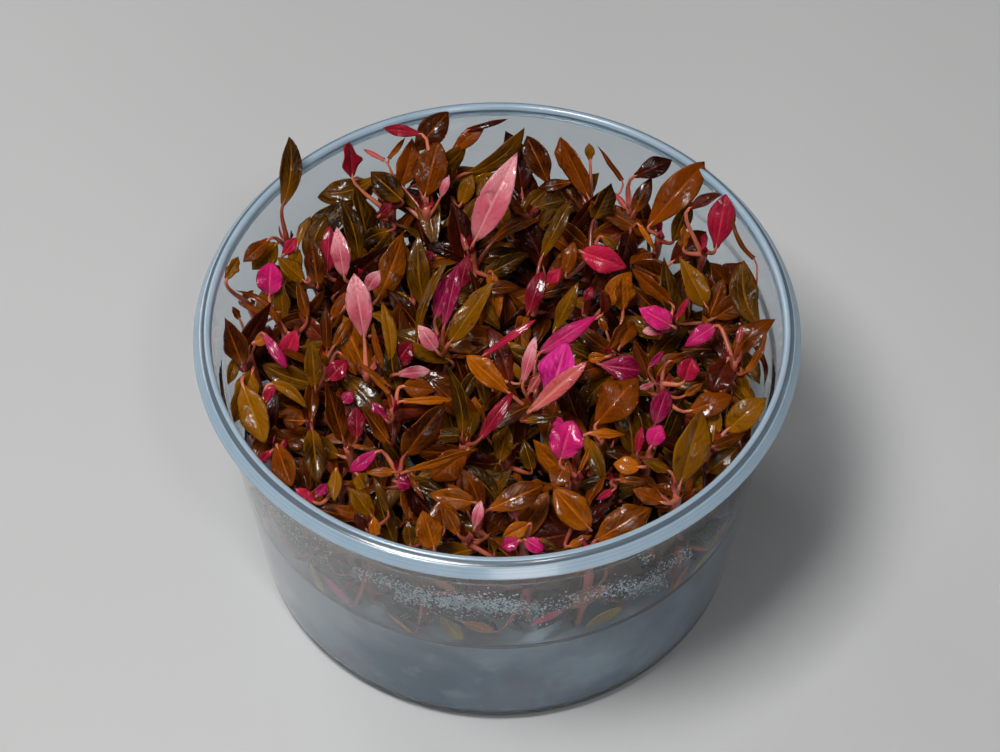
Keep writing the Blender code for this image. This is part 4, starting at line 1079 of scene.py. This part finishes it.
def add_stem(sheet, stem, joints, chance):
    """The stem, swollen where its leaves leave it, from the gel's inside to the crown."""
    tone = chance.random()
    count = len(BURIED_SHARES)
    path = [stem.foot - UP * (BURIED * (1 - i / count)) for i in range(count)]
    radii = [STEM_R * share for share in BURIED_SHARES]
    start, fall = STEM_TAPER
    for i in range(STEM_POINTS):
        t = i / (STEM_POINTS - 1)
        swell = sum(math.exp(-((t - j) / NODE_SPREAD) ** 2) for j in joints)
        path.append(stem.at(t))
        radii.append(STEM_R * (start - fall * t) + NODE_SWELL * min(1.0, swell))
    path.append(stem.crown + UP * STEM_TOP)
    radii.append(STEM_R * STEM_TIP)
    add_tube(sheet, path, radii, "stem", tone)


def add_roots(sheet, stem, chance):
    """A few pale roots inside the gel."""
    last = len(ROOT_RADII) - 1
    for _ in range(ROOTS):
        turn = chance.uniform(0.0, math.tau)
        out = Vector((math.cos(turn), math.sin(turn), 0.0))
        start = stem.foot - UP * chance.uniform(*ROOT_START)
        reach = chance.uniform(*ROOT_REACH)
        drop = chance.uniform(*ROOT_DROP)
        path = []
        for i in range(last + 1):
            across = reach * (i / last) ** ROOT_CURVES[0]
            down = drop * (i / last) ** ROOT_CURVES[1]
            path.append(start + out * across - UP * down)
        limit = outer_radius(path[-1].z) - WALL - ROOT_GAP
        if math.hypot(path[-1].x, path[-1].y) < limit and path[-1].z > FLOOR + ROOT_GAP:
            add_tube(sheet, path, ROOT_RADII, "root", chance.random())


def cell_of(point):
    px, py = picture_point(point)
    return int(px // CELL_PX), int(py // CELL_PX)


def cell_middle(cell):
    return (cell[0] + 0.5) * CELL_PX, (cell[1] + 0.5) * CELL_PX


def mark_blade(cells, blade):
    """Marks the picture cells that a blade covers."""
    for row in range(1, MARK_ROWS):
        middle, side, _, width = blade.frame(row / MARK_ROWS)
        for u in MARK_COLUMNS:
            cells.add(cell_of(middle + side * (width * u)))


def near_stroke(px, py, stroke):
    """Whether a picture point lies on a stroke that stays clear."""
    start, end, half = stroke
    along = Vector(end) - Vector(start)
    offset = Vector((px, py)) - Vector(start)
    share = max(0.0, min(1.0, offset.dot(along) / along.length_squared))
    return (offset - along * share).length < half


def open_cells(covered):
    """Cells inside the tub's mouth that nothing covers and nothing keeps clear."""
    cells = []
    for column in range(CELLS[0]):
        for row in range(CELLS[1]):
            px, py = cell_middle((column, row))
            point = seen_at(px, py, CANOPY_Z)
            if (column, row) in covered or math.hypot(point.x, point.y) > CANOPY_R:
                continue
            if not any(near_stroke(px, py, stroke) for stroke in KEEP_CLEAR):
                cells.append((column, row))
    return cells


def box_of(mesh):
    low = Vector([min(v.co[i] for v in mesh.verts) for i in range(3)])
    high = Vector([max(v.co[i] for v in mesh.verts) for i in range(3)])
    return low, high


def boxes_meet(a, b):
    return all(a[0][i] <= b[1][i] and b[0][i] <= a[1][i] for i in range(3))


class Crowd:
    """Everything that is placed, the picture cells that it covers, and each plantlet's fine blades."""

    def __init__(self, plantlets):
        self.members = []
        self.cells = set()
        self.blades = [[] for _ in range(plantlets)]

    def add(self, owner, mesh):
        self.members.append((owner, BVHTree.FromBMesh(mesh), box_of(mesh)))
        mesh.free()

    def free_for(self, owner, mesh):
        box = box_of(mesh)
        tree = None
        for other, taken, taken_box in self.members:
            if other == owner or not boxes_meet(box, taken_box):
                continue
            if tree is None:
                tree = BVHTree.FromBMesh(mesh)
            if tree.overlap(taken):
                return False
        return True

    def takes(self, owner, mesh):
        """Adds a mesh if there is room for it, and says whether there was."""
        if fits(mesh) and self.free_for(owner, mesh):
            self.add(owner, mesh)
            return True
        mesh.free()
        return False

    def dress(self, owner, leaf, place, chance):
        """The fine blade of a placed leaf, kept with the joint that it grows from."""
        path, across = leaf.path(*place[:2])
        kind = OTHER_LOOKS.get(leaf.tip_at, leaf.kind)
        half_width = leaf.half_width * place[2]
        blade = Blade(kind, path[2], path[-1], across, half_width, leaf.bow, chance)
        mark_blade(self.cells, blade)
        self.blades[owner].append((leaf.joint(blade.base), blade))
        return blade

    def grow(self, owner, leaf, alongs, chance):
        """The fine blade of a leaf that is added near its own place, or None."""
        for narrow in ADDED_NARROWING:
            for along in alongs:
                place = (along, 0.0, narrow)
                if self.takes(owner, leaf.mesh(place, CLEARANCE / 2)):
                    return self.dress(owner, leaf, place, chance)
        return None


def nearest_crowns(px, py):
    """Numbers of the plantlets, from the one whose crown is seen nearest to a picture point."""
    return sorted(range(len(PLANTLETS)), key=lambda n: math.dist((px, py), PLANTLETS[n][0][:2]))


def fill_row(px, py, crown, chance):
    """A leaf's row for an open cell: it radiates from the crown with its middle on the cell."""
    offset = Vector((px - crown[0], py - crown[1]))
    turn = math.atan2(offset.y, offset.x) + chance.gauss(0.0, FILL_TURN)
    length = chance.uniform(*FILL_LENGTH)
    half = Vector((math.cos(turn), math.sin(turn))) * (length / 2)
    width = length * chance.uniform(*FILL_WIDTH)
    tip = (px + half.x, py + half.y)
    base = (px - half.x, py - half.y)
    return (chance.choice(FILL_KINDS), *tip, *base, width, 0.0, chance.uniform(*FILL_BOW))


def more_leaves(stems, crowd, chance):
    """The leaves of MORE_LEAVES, each on one of the two nearest plantlets if there is room for it."""
    for kind, tip_x, tip_y, base_x, base_y, width, drop, bow in MORE_LEAVES:
        row = (kind, tip_x, tip_y, base_x, base_y, width, 0.0, bow)
        for owner in nearest_crowns(base_x, base_y)[:2]:
            leaf = Leaf(row, chance.randrange(JOINTS), PLANTLETS[owner][0][2] - drop, stems[owner])
            if crowd.grow(owner, leaf, MORE_ALONG, chance):
                break


def fill_gaps(stems, crowd, chance):
    """Leaves for the open cells of the picture, a little lower than the canopy and darkened as painted
    shade.
    """
    cells = open_cells(crowd.cells)
    enough = FILL_LEFT * len(cells)
    misses = 0
    while misses < FILL_MISSES and len(cells) > enough:
        px, py = cell_middle(chance.choice(cells))
        order = nearest_crowns(px, py)
        owner = order[0] if chance.random() < FILL_NEAREST else order[1]
        crown = PLANTLETS[owner][0]
        height = crown[2] - chance.uniform(*FILL_DROP)
        row = fill_row(px, py, crown, chance)
        leaf = Leaf(row, chance.randrange(JOINTS), height, stems[owner])
        blade = crowd.grow(owner, leaf, FILL_ALONG, chance)
        if blade is None:
            misses += 1
            continue
        # Halving the tone darkens the added leaf: painted shade below the canopy.
        blade.tone *= FILL_SHADE_TONE
        cells = [cell for cell in cells if cell not in crowd.cells]


def low_leaves(owner, stem, crowd, chance):
    """Whorls of smaller leaves lower on the stem, darkened as painted shade."""
    turn = chance.uniform(0.0, math.tau)
    least_rise, most_rise, higher_rise = LOW_RISE
    for t, count, lengths, kinds in LOW_TIERS:
        joint = stem.at(t)
        turn += math.pi / count + chance.gauss(0.0, LOW_TURN)
        for number in range(count):
            heading = turn + math.tau * number / count
            rise = chance.uniform(least_rise, most_rise + higher_rise * t)
            out = Vector((math.cos(heading), math.sin(heading), rise)).normalized()
            stalk = chance.uniform(*LOW_STALK)
            length = chance.uniform(*lengths)
            base = joint + out * stalk
            tip = joint + out * (stalk + length) - UP * chance.uniform(*LOW_DROOP)
            across = out.cross(UP).normalized()
            half_width = length * chance.uniform(*LOW_WIDTH)
            middle = base.lerp(tip, LOW_MIDDLE) + across.cross(out) * LOW_ARCH
            widths = [0.0, LOW_STALK_R, half_width, 0.0]
            thicks = [0.0, LOW_HALF_THICK, LOW_HALF_THICK, 0.0]
            if crowd.takes(owner, swept([joint, base, middle, tip], widths, thicks, across, LEAF_SIDES)):
                blade = Blade(chance.choice(kinds), base, tip, across, half_width, 0.0, chance)
                crowd.blades[owner].append((joint, blade))


def wall_leaves(stems, crowd, chance):
    """Leaves that lie on the inside of the wall, each on the plantlet that stands nearest."""
    for kind, start, end, width in WALL_LEAVES:
        tip = wall_point(*start, WALL + WALL_LEAF_INSET)
        base = wall_point(*end, WALL + WALL_LEAF_INSET)
        inward = -Vector((base.x, base.y, 0.0)).normalized()
        across = (tip - base).cross(-inward).normalized()
        half_width = width / 2 * (EYE - base).length / FOCAL_PX
        owner = min(range(len(stems)), key=lambda n: (stems[n].at(WALL_LEAF_NEAR) - base).length)
        blade = Blade(kind, base, tip, across, half_width, 0.0, chance)
        blade.press(inward)
        crowd.blades[owner].append((stems[owner].at(WALL_LEAF_JOINT), blade))


def crown_buds(stem, chance):
    """Two small upright leaves at the crown."""
    turn = chance.uniform(0.0, math.tau)
    made = []
    for half_turn in (0.0, math.pi):
        side = Vector((math.cos(turn + half_turn), math.sin(turn + half_turn), 0.0))
        base = stem.crown + side * BUD_R
        spread = side * chance.uniform(*BUD_SPREAD)
        tip = stem.crown + spread + UP * chance.uniform(*BUD_HEIGHT)
        across = Vector((-side.y, side.x, 0.0))
        kind = chance.choice(BUD_KINDS)
        made.append(Blade(kind, base, tip, across, chance.uniform(*BUD_HALF_WIDTH), 0.0, chance))
    return made


class Graph:
    """Short ways to put shader nodes in a new material."""

    def __init__(self, name):
        self.material = bpy.data.materials.new(name)
        self.material.use_nodes = True
        self.nodes = self.material.node_tree.nodes
        self.links = self.material.node_tree.links
        self.shader = self.nodes["Principled BSDF"]

    def put(self, socket, value):
        if isinstance(value, bpy.types.NodeSocket):
            self.links.new(value, socket)
        else:
            socket.default_value = value

    def set(self, **values):
        """Sets or links the shader's inputs, named with _ for a space."""
        for name, value in values.items():
            self.put(self.shader.inputs[name.replace("_", " ")], value)

    def math(self, operation, a, b=0.0):
        node = self.nodes.new("ShaderNodeMath")
        node.operation = operation
        self.put(node.inputs[0], a)
        self.put(node.inputs[1], b)
        return node.outputs[0]

    def times(self, a, b):
        return self.math("MULTIPLY", a, b)

    def plus(self, a, b):
        return self.math("ADD", a, b)

    def ramp(self, value, low, high, to_low=0.0, to_high=1.0):
        node = self.nodes.new("ShaderNodeMapRange")
        node.interpolation_type = "SMOOTHSTEP"
        for socket, number in zip(node.inputs, (value, low, high, to_low, to_high)):
            self.put(socket, number)
        return node.outputs[0]

    def mix(self, factor, a, b):
        node = self.nodes.new("ShaderNodeMix")
        node.data_type = "RGBA"
        self.put(node.inputs[0], factor)
        self.put(node.inputs[6], (*a, 1.0) if isinstance(a, tuple) else a)
        self.put(node.inputs[7], (*b, 1.0) if isinstance(b, tuple) else b)
        return node.outputs[2]

    def noise_at(self, place, scale, detail, distortion=0.0):
        node = self.nodes.new("ShaderNodeTexNoise")
        self.links.new(place, node.inputs["Vector"])
        for name, number in (("Scale", scale), ("Detail", detail), ("Distortion", distortion)):
            node.inputs[name].default_value = number
        return node.outputs["Fac"]

    def noise(self, scale, detail=3.0, distortion=0.0):
        place = self.nodes.new("ShaderNodeTexCoord").outputs["Object"]
        return self.noise_at(place, scale, detail, distortion)

    def attribute(self, name):
        node = self.nodes.new("ShaderNodeAttribute")
        node.attribute_name = name
        return node.outputs["Fac"]

    def streaks(self, across, along, seed):
        """Long streaks that run from a leaf's base to its tip."""
        place = self.nodes.new("ShaderNodeCombineXYZ")
        for socket, value, scale in zip(place.inputs, (across, along, seed), STREAK_SCALES):
            self.put(socket, self.times(value, scale))
        return self.noise_at(place.outputs[0], 1.0, 4.0)

    def rings(self, scale):
        """Fine rings about the tub's axis, from 0 to about 1."""
        split = self.nodes.new("ShaderNodeSeparateXYZ")
        self.links.new(self.nodes.new("ShaderNodeTexCoord").outputs["Object"], split.inputs[0])
        x, y, z = split.outputs
        radius = self.math("SQRT", self.plus(self.times(x, x), self.times(y, y)))
        place = self.nodes.new("ShaderNodeCombineXYZ")
        self.put(place.inputs[0], self.times(radius, scale))
        self.put(place.inputs[1], self.times(z, scale))
        return self.noise_at(place.outputs[0], 1.0, 2.0)

    def leaf_place(self):
        """How far across and how far along its leaf a point lies."""
        uv = self.nodes.new("ShaderNodeUVMap")
        uv.uv_map = "leaf"
        split = self.nodes.new("ShaderNodeSeparateXYZ")
        self.links.new(uv.outputs[0], split.inputs[0])
        return split.outputs[0], split.outputs[1]

    def bump(self, height, strength, distance, socket="Normal"):
        node = self.nodes.new("ShaderNodeBump")
        node.inputs["Strength"].default_value = strength
        node.inputs["Distance"].default_value = distance
        self.links.new(height, node.inputs["Height"])
        self.links.new(node.outputs[0], self.shader.inputs[socket])


def leaf_colour(graph, kind, look, across, along, edge, saw):
    """Mottled, streaked and stained colour of a leaf, with its veins and its edges lightened as painted
    glow.
    """
    dark, light, vein_and_edge_glow, _ = look
    side_vein = graph.times(graph.ramp(saw, 0.0, 0.16, 1.0, 0.0), graph.ramp(edge, 0.45, 0.95, 1.0, 0.0))
    rib_width = 0.3 if kind == "salmon" else 0.1
    midrib = graph.times(graph.ramp(edge, 0.01, rib_width, 1.0, 0.0), graph.ramp(along, 0.4, 1.0, 1.0, 0.3))
    tone = graph.attribute("tone")
    mottle = graph.times(graph.noise(170.0, 5.0, 0.6), 0.45)
    streak = graph.times(graph.streaks(across, along, tone), 0.5)
    blend = graph.plus(graph.times(tone, 0.5), graph.plus(mottle, streak))
    colour = graph.mix(graph.ramp(blend, 0.42, 0.98), dark, light)
    stain = graph.ramp(graph.noise(620.0, 3.0, 0.4), 0.55, 0.75, 0.0, 0.55)
    colour = graph.mix(stain, colour, tuple(channel * 0.5 for channel in dark))
    stalk_end = graph.ramp(along, 0.0, 0.4, 0.4, 0.0)
    # The lighter margin is painted light: the glow of light through the thin edge.
    margin = graph.times(graph.ramp(edge, 0.86, 1.0), 0.4)
    for share in (stalk_end, graph.times(side_vein, 0.12), graph.times(midrib, 0.6), margin):
        colour = graph.mix(share, colour, vein_and_edge_glow)
    return colour


def pale_tip(graph, colour, along):
    """The colour of a leaf whose tip is paler and speckled."""
    colour = graph.mix(graph.times(graph.ramp(along, 0.4, 0.95), 0.6), colour, PALE_TIP)
    speck = graph.times(graph.ramp(graph.noise(1900.0, 3.0), 0.53, 0.6), graph.ramp(along, 0.55, 0.85))
    return graph.mix(graph.times(speck, 0.6), colour, TIP_SPECK)


def leaf_material(kind, look):
    """A wet leaf with a midrib, faint side veins, mottles, edges lightened by painted light and a tone of
    its own.
    """
    roughness = look[3]
    graph = Graph(kind + "_leaf_look")
    across, along = graph.leaf_place()
    edge = graph.times(graph.math("ABSOLUTE", graph.math("SUBTRACT", across, 0.5)), 2.0)
    swept_along = graph.math("SUBTRACT", along, graph.times(edge, VEIN_SWEEP))
    wobble = graph.times(graph.noise(350.0, 2.0), 0.12)
    saw = graph.math("PINGPONG", graph.times(graph.plus(swept_along, wobble), VEINS), 0.5)
    colour = leaf_colour(graph, kind, look, across, along, edge, saw)
    if kind == "pink":
        colour = pale_tip(graph, colour, along)
    rough = graph.ramp(graph.noise(420.0, 3.0), 0.3, 0.75, roughness - 0.1, roughness + 0.18)
    wet = graph.ramp(graph.noise(230.0, 4.0, 0.8), 0.52, 0.6, 0.0, 1.0)
    graph.set(Base_Color=colour, Roughness=rough, Specular_IOR_Level=0.07, Coat_Weight=wet,
              Coat_Roughness=0.06, Coat_IOR=1.45, Subsurface_Weight=0.1, Subsurface_Scale=0.0012,
              Subsurface_Radius=(1.0, 0.3, 0.15))
    graph.bump(graph.noise(700.0, 4.0, 0.6), 0.8, 0.0003, "Coat Normal")
    quilt = graph.times(graph.ramp(saw, 0.0, 0.4), 0.12)
    grain = graph.times(graph.noise(2600.0, 2.0), 0.12)
    height = graph.plus(graph.plus(quilt, graph.noise(520.0, 3.0, 0.5)), grain)
    graph.bump(height, 0.6, 0.0004)
    return graph.material


def stalk_material(kind, look):
    """A smooth and moist stalk, stem or root, a little lighter towards its end."""
    dark, light, roughness = look
    graph = Graph(kind + "_look")
    _, along = graph.leaf_place()
    mottle = graph.times(graph.noise(350.0, 3.0), 0.6)
    blend = graph.plus(graph.times(graph.attribute("tone"), 0.5), mottle)
    blend = graph.plus(blend, graph.times(along, 0.12))
    colour = graph.mix(graph.ramp(blend, 0.2, 0.95), dark, light)
    graph.set(Base_Color=colour, Roughness=roughness, Coat_Weight=0.3, Coat_Roughness=0.08,
              Subsurface_Weight=0.2, Subsurface_Scale=0.001, IOR=1.42)
    graph.bump(graph.noise(1800.0, 2.0), 0.25, 0.0002)
    return graph.material


def tub_material():
    """Translucent polypropylene, slightly blue, with faint flow marks."""
    graph = Graph("frosted_plastic_look")
    haze = graph.noise(30.0, 4.0, 1.2)
    graph.set(Base_Color=graph.mix(haze, *TUB_TONES), Roughness=graph.ramp(haze, 0.3, 0.7, 0.02, 0.05),
              Transmission_Weight=0.99, IOR=1.22, Specular_IOR_Level=0.15)
    graph.bump(graph.noise(420.0, 3.0), 0.04, 0.0002)
    return graph.material


def rim_material(name, darker, lighter):
    """The same plastic in the rolled rim, where it is thick and looks whiter."""
    graph = Graph(name)
    haze = graph.plus(graph.times(graph.noise(90.0, 3.0, 0.8), 0.4), graph.rings(2600.0))
    colour = graph.mix(graph.ramp(haze, 0.35, 1.0), darker, lighter)
    graph.set(Base_Color=colour, Roughness=0.2, Transmission_Weight=0.35, IOR=1.49,
              Subsurface_Weight=0.25, Subsurface_Scale=0.002, Coat_Weight=0.25, Coat_Roughness=0.06)
    graph.bump(graph.noise(600.0, 2.0), 0.06, 0.0002)
    return graph.material


def gel_material():
    """Milky gel with darker and pinkish clouds and pale curds."""
    graph = Graph("milky_gel_look")
    colour = graph.mix(graph.ramp(graph.noise(42.0, 4.0, 0.25), 0.34, 0.68), *GEL_TONES)
    blush = graph.ramp(graph.noise(75.0, 2.0, 0.2), 0.52, 0.68, 0.0, 0.5)
    curd = graph.ramp(graph.noise(170.0, 4.0), 0.54, 0.74, 0.0, 0.4)
    colour = graph.mix(curd, graph.mix(blush, colour, GEL_BLUSH), GEL_CURD)
    graph.set(Base_Color=colour, Roughness=0.3, Subsurface_Weight=0.5, Subsurface_Scale=0.003,
              Subsurface_Radius=(1.0, 1.0, 1.0), Specular_IOR_Level=0.2, Coat_Weight=0.1,
              Coat_Roughness=0.08)
    graph.bump(graph.noise(140.0, 2.0), 0.1, 0.0006)
    return graph.material


def plain_material(name, scale, tones, **values):
    """A look of two tones in soft clouds."""
    graph = Graph(name)
    graph.set(Base_Color=graph.mix(graph.noise(scale), *tones), **values)
    return graph.material


def corner(radius, floor_z, wall_r):
    """Points of a rounded corner from the wall down to the floor."""
    middle_r = wall_r - radius
    middle_z = floor_z + radius
    points = []
    for step in range(CORNER_POINTS + 1):
        turn = math.pi / 2 * step / CORNER_POINTS
        points.append((middle_r + radius * math.cos(turn), middle_z - radius * math.sin(turn)))
    return points


def turned(name, profile, looks, look_of):
    """Mesh object turned about Z from its profile, given as (radius, height) points in mm.

    look_of gives the number of a face's look from its middle's radius and height.
    """
    mesh = bmesh.new()
    ring = [mesh.verts.new((r * MM, 0.0, z * MM)) for r, z in profile]
    edges = [mesh.edges.new(pair) for pair in zip(ring, ring[1:])]
    bmesh.ops.spin(mesh, geom=ring + edges, cent=(0, 0, 0), axis=(0, 0, 1), angle=math.tau,
                   steps=TUB_STEPS, use_merge=True)
    bmesh.ops.remove_doubles(mesh, verts=mesh.verts, dist=MERGE_DISTANCE)
    bmesh.ops.dissolve_degenerate(mesh, edges=mesh.edges, dist=TINY_EDGE)
    bmesh.ops.recalc_face_normals(mesh, faces=mesh.faces)
    data = bpy.data.meshes.new(name)
    mesh.to_mesh(data)
    mesh.free()
    for look in looks:
        data.materials.append(look)
    middles = [polygon.center / MM for polygon in data.polygons]
    data.polygons.foreach_set("material_index", [look_of(math.hypot(p.x, p.y), p.z) for p in middles])
    return smooth_object(name, data)


def build_tub():
    """The tub, round and with the rim's bands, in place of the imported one."""
    inner_corner = corner(CORNER_R - WALL, FLOOR, outer_radius(CORNER_R) - WALL)
    below_ledge = LEDGE_Z - LEDGE_RUN
    profile = [(0.0, FLOOR)]
    profile += reversed(inner_corner)
    profile.append((outer_radius(below_ledge) - WALL, below_ledge))
    for out, up in LEDGE_STEPS:
        profile.append((LEDGE_R + LEDGE_WIDTH * out, LEDGE_Z + LEDGE_HALF_RISE * up))
    profile += [(RIM_R - inset, RIM_TOP_Z - depth) for inset, depth in RIM_SECTION]
    profile.append((outer_radius(RIM_EDGE_Z) + SKIRT_JOIN, RIM_EDGE_Z))
    profile += corner(CORNER_R, 0.0, outer_radius(CORNER_R))
    profile.append((0.0, 0.0))
    rim = rim_material("frosted_rim_look", *RIM_TONES)
    # The groove is the rim's plastic in darker tones: painted shade.
    groove = rim_material("frosted_groove_painted_shade_look", *GROOVE_SHADE_TONES)
    made = turned("fine_tub", profile, (tub_material(), rim, groove), tub_look)
    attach(made, "root")
    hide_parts("tub")


def tub_look(radius, height):
    """Look of a face of the tub: 0 for the wall, 1 for the rim and the foot line, 2 for the groove's
    painted shade.
    """
    if height < RIM_EDGE_Z - RIM_SKIRT:
        outside = radius > outer_radius(height) - FOOT_LINE_DEPTH
        return 1 if FOOT_LINE[0] < height < FOOT_LINE[1] and outside else 0
    return 2 if height > GROOVE_Z and GROOVE_R[0] < radius < GROOVE_R[1] else 1


def build_gel():
    """The gel, whose edge climbs the wall a little and has a dark line of painted shade."""
    top_r = outer_radius(GEL_TOP_Z) - WALL - GAP
    bottom = FLOOR + GAP
    radius = CORNER_R - WALL
    profile = [(0.0, GEL_TOP_Z), (top_r - MENISCUS_WIDTH, GEL_TOP_Z)]
    for step in range(1, MENISCUS_STEPS + 1):
        t = step / MENISCUS_STEPS
        height = GEL_TOP_Z + MENISCUS * t ** MENISCUS_CURVE
        profile.append((top_r - MENISCUS_WIDTH * (1 - t) + GEL_EDGE_EXTRA * t, height))
    profile.append((top_r, GEL_TOP_Z - GEL_LINE))
    profile += corner(radius, bottom, outer_radius(bottom + radius) - WALL - GAP)
    profile.append((0.0, bottom))
    # The dark line is painted shade, standing in for the darkness that the meniscus shows.
    looks = (gel_material(), plain_material("gel_line_painted_shade_look", 60.0, GEL_LINE_SHADE_TONES, Roughness=0.2))
    made = turned("fine_gel", profile, looks, gel_look)
    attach(made, "root")
    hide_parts("gel")


def gel_look(radius, height):
    """Look of a face of the gel: 0 for the gel and 1 for the painted shade of the dark line along its edge.
    """
    edge_r = outer_radius(GEL_TOP_Z) - WALL - GAP - GEL_LINE
    return int(height > GEL_TOP_Z - GEL_LINE and radius > edge_r)


def drop_spots():
    """Picture point and size of each drop of condensation, and of one bubble."""
    chance = random.Random(SEED + 2)
    spots = [BUBBLE]
    for start, end, half, count, largest in DROP_BANDS:
        along = Vector(end) - Vector(start)
        aside = Vector((-along.y, along.x)).normalized()
        for _ in range(count):
            spot = Vector(start) + along * chance.random()
            spot += aside * chance.gauss(0.0, half * DROP_SPREAD)
            share = SMALLEST_DROP + (1.0 - SMALLEST_DROP) * chance.random() ** 3
            spots.append((spot.x, spot.y, largest * share))
    return spots


def build_drops():
    """Condensation on the inside of the wall, in a nearly white look of painted highlight."""
    shape = bmesh.new()
    bmesh.ops.create_icosphere(shape, subdivisions=1, radius=1.0)
    pattern = [vert.co.copy() for vert in shape.verts]
    pattern_faces = [[vert.index for vert in face.verts] for face in shape.faces]
    shape.free()
    corners = []
    faces = []
    for spot in drop_spots():
        drop = drop_corners(pattern, *spot)
        faces += [[index + len(corners) for index in face] for face in pattern_faces if drop]
        corners += drop
    data = bpy.data.meshes.new("condensation")
    data.from_pydata(corners, [], faces)
    # The drops are nearly white: painted highlight on clear water.
    data.materials.append(plain_material("water_drop_painted_highlight_look", 900.0, DROP_HIGHLIGHT_TONES, Roughness=0.15,
                                         Coat_Weight=0.6, Subsurface_Weight=0.3,
                                         Subsurface_Scale=0.0005))
    made = smooth_object("condensation", data)
    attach(made, "root")


def drop_corners(pattern, px, py, size):
    """Corners of a flat drop on the wall's inner face, or none where the line of sight misses the wall."""
    spot = wall_point(px, py, WALL + DROP_INSET)
    if spot is None:
        return []
    out = Vector((spot.x, spot.y, 0.0)).normalized()
    around = out.cross(UP)
    corners = []
    for local in pattern:
        offset = around * local.x + UP * local.y - out * ((local.z + DROP_SINK) * DROP_FLATNESS)
        corners.append((spot + offset * size) * MM)
    return corners


def build_stage():
    """Floor, surroundings and lights, which aren't part of the object."""
    bpy.ops.mesh.primitive_plane_add(size=FLOOR_SIZE)
    floor = bpy.context.object
    floor.name = "floor"
    floor.data.materials.append(plain_material("floor_look", 6.0, FLOOR_TONES, Roughness=0.75))
    world = bpy.data.worlds.new("studio")
    bpy.context.scene.world = world
    world.use_nodes = True
    background = world.node_tree.nodes["Background"]
    background.inputs["Color"].default_value = SKY
    background.inputs["Strength"].default_value = SKY_STRENGTH
    for name, place, size, watts in LIGHTS:
        light = bpy.data.lights.new(name, "AREA")
        light.size = size
        light.energy = watts
        made = new_object(name, light)
        made.location = place
        made.rotation_euler = (Vector(AIM) - Vector(place)).to_track_quat("-Z", "Y").to_euler()


def build_camera():
    camera = bpy.data.cameras.new("camera")
    camera.lens = LENS_MM
    camera.sensor_width = SENSOR_MM
    camera.clip_start = CLIP_START
    made = new_object("camera", camera)
    made.location = EYE * MM
    made.rotation_euler = (math.pi / 2 - EYE_PITCH, 0.0, -EYE_YAW)
    bpy.context.scene.camera = made
    bpy.context.scene.view_settings.view_transform = "Standard"


def plan_blades(plans, chance):
    """Fine blades of each plantlet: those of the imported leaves, then the added ones."""
    stems = [stem for stem, _ in plans]
    crowd = Crowd(len(plans))
    for owner, (stem, leaves) in enumerate(plans):
        crowd.add(owner, stem.mesh())
        for leaf, place in leaves:
            crowd.add(owner, leaf.mesh(place))
            crowd.dress(owner, leaf, place, chance)
    more_leaves(stems, crowd, chance)
    fill_gaps(stems, crowd, chance)
    for owner, stem in enumerate(stems):
        low_leaves(owner, stem, crowd, chance)
    wall_leaves(stems, crowd, chance)
    return crowd.blades


def build_plantlets(mats):
    """Each plantlet's fine mesh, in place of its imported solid."""
    plans = plan_plantlets()
    chance = random.Random(SEED + 1)
    for number, blades in enumerate(plan_blades(plans, chance)):
        stem = plans[number][0]
        name = f"plantlet_{number + 1:02d}"
        sheet = Sheet()
        for joint, blade in blades:
            add_blade(sheet, blade)
            add_stalk(sheet, joint, blade)
        for blade in crown_buds(stem, chance):
            add_blade(sheet, blade)
        height = (stem.crown - stem.foot).length
        joints = sorted({round((joint - stem.foot).length / height, 1) for joint, _ in blades})
        add_stem(sheet, stem, joints, chance)
        add_roots(sheet, stem, chance)
        made = sheet.object("fine_" + name, mats)
        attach(made, "root")
        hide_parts(name)


def main():
    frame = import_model()
    build_camera()
    build_stage()
    build_tub()
    build_gel()
    build_drops()
    mats = {kind: leaf_material(kind, look) for kind, look in LEAF_LOOKS.items()}
    mats |= {kind: stalk_material(kind, look) for kind, look in STALK_LOOKS.items()}
    build_plantlets(mats)


main()
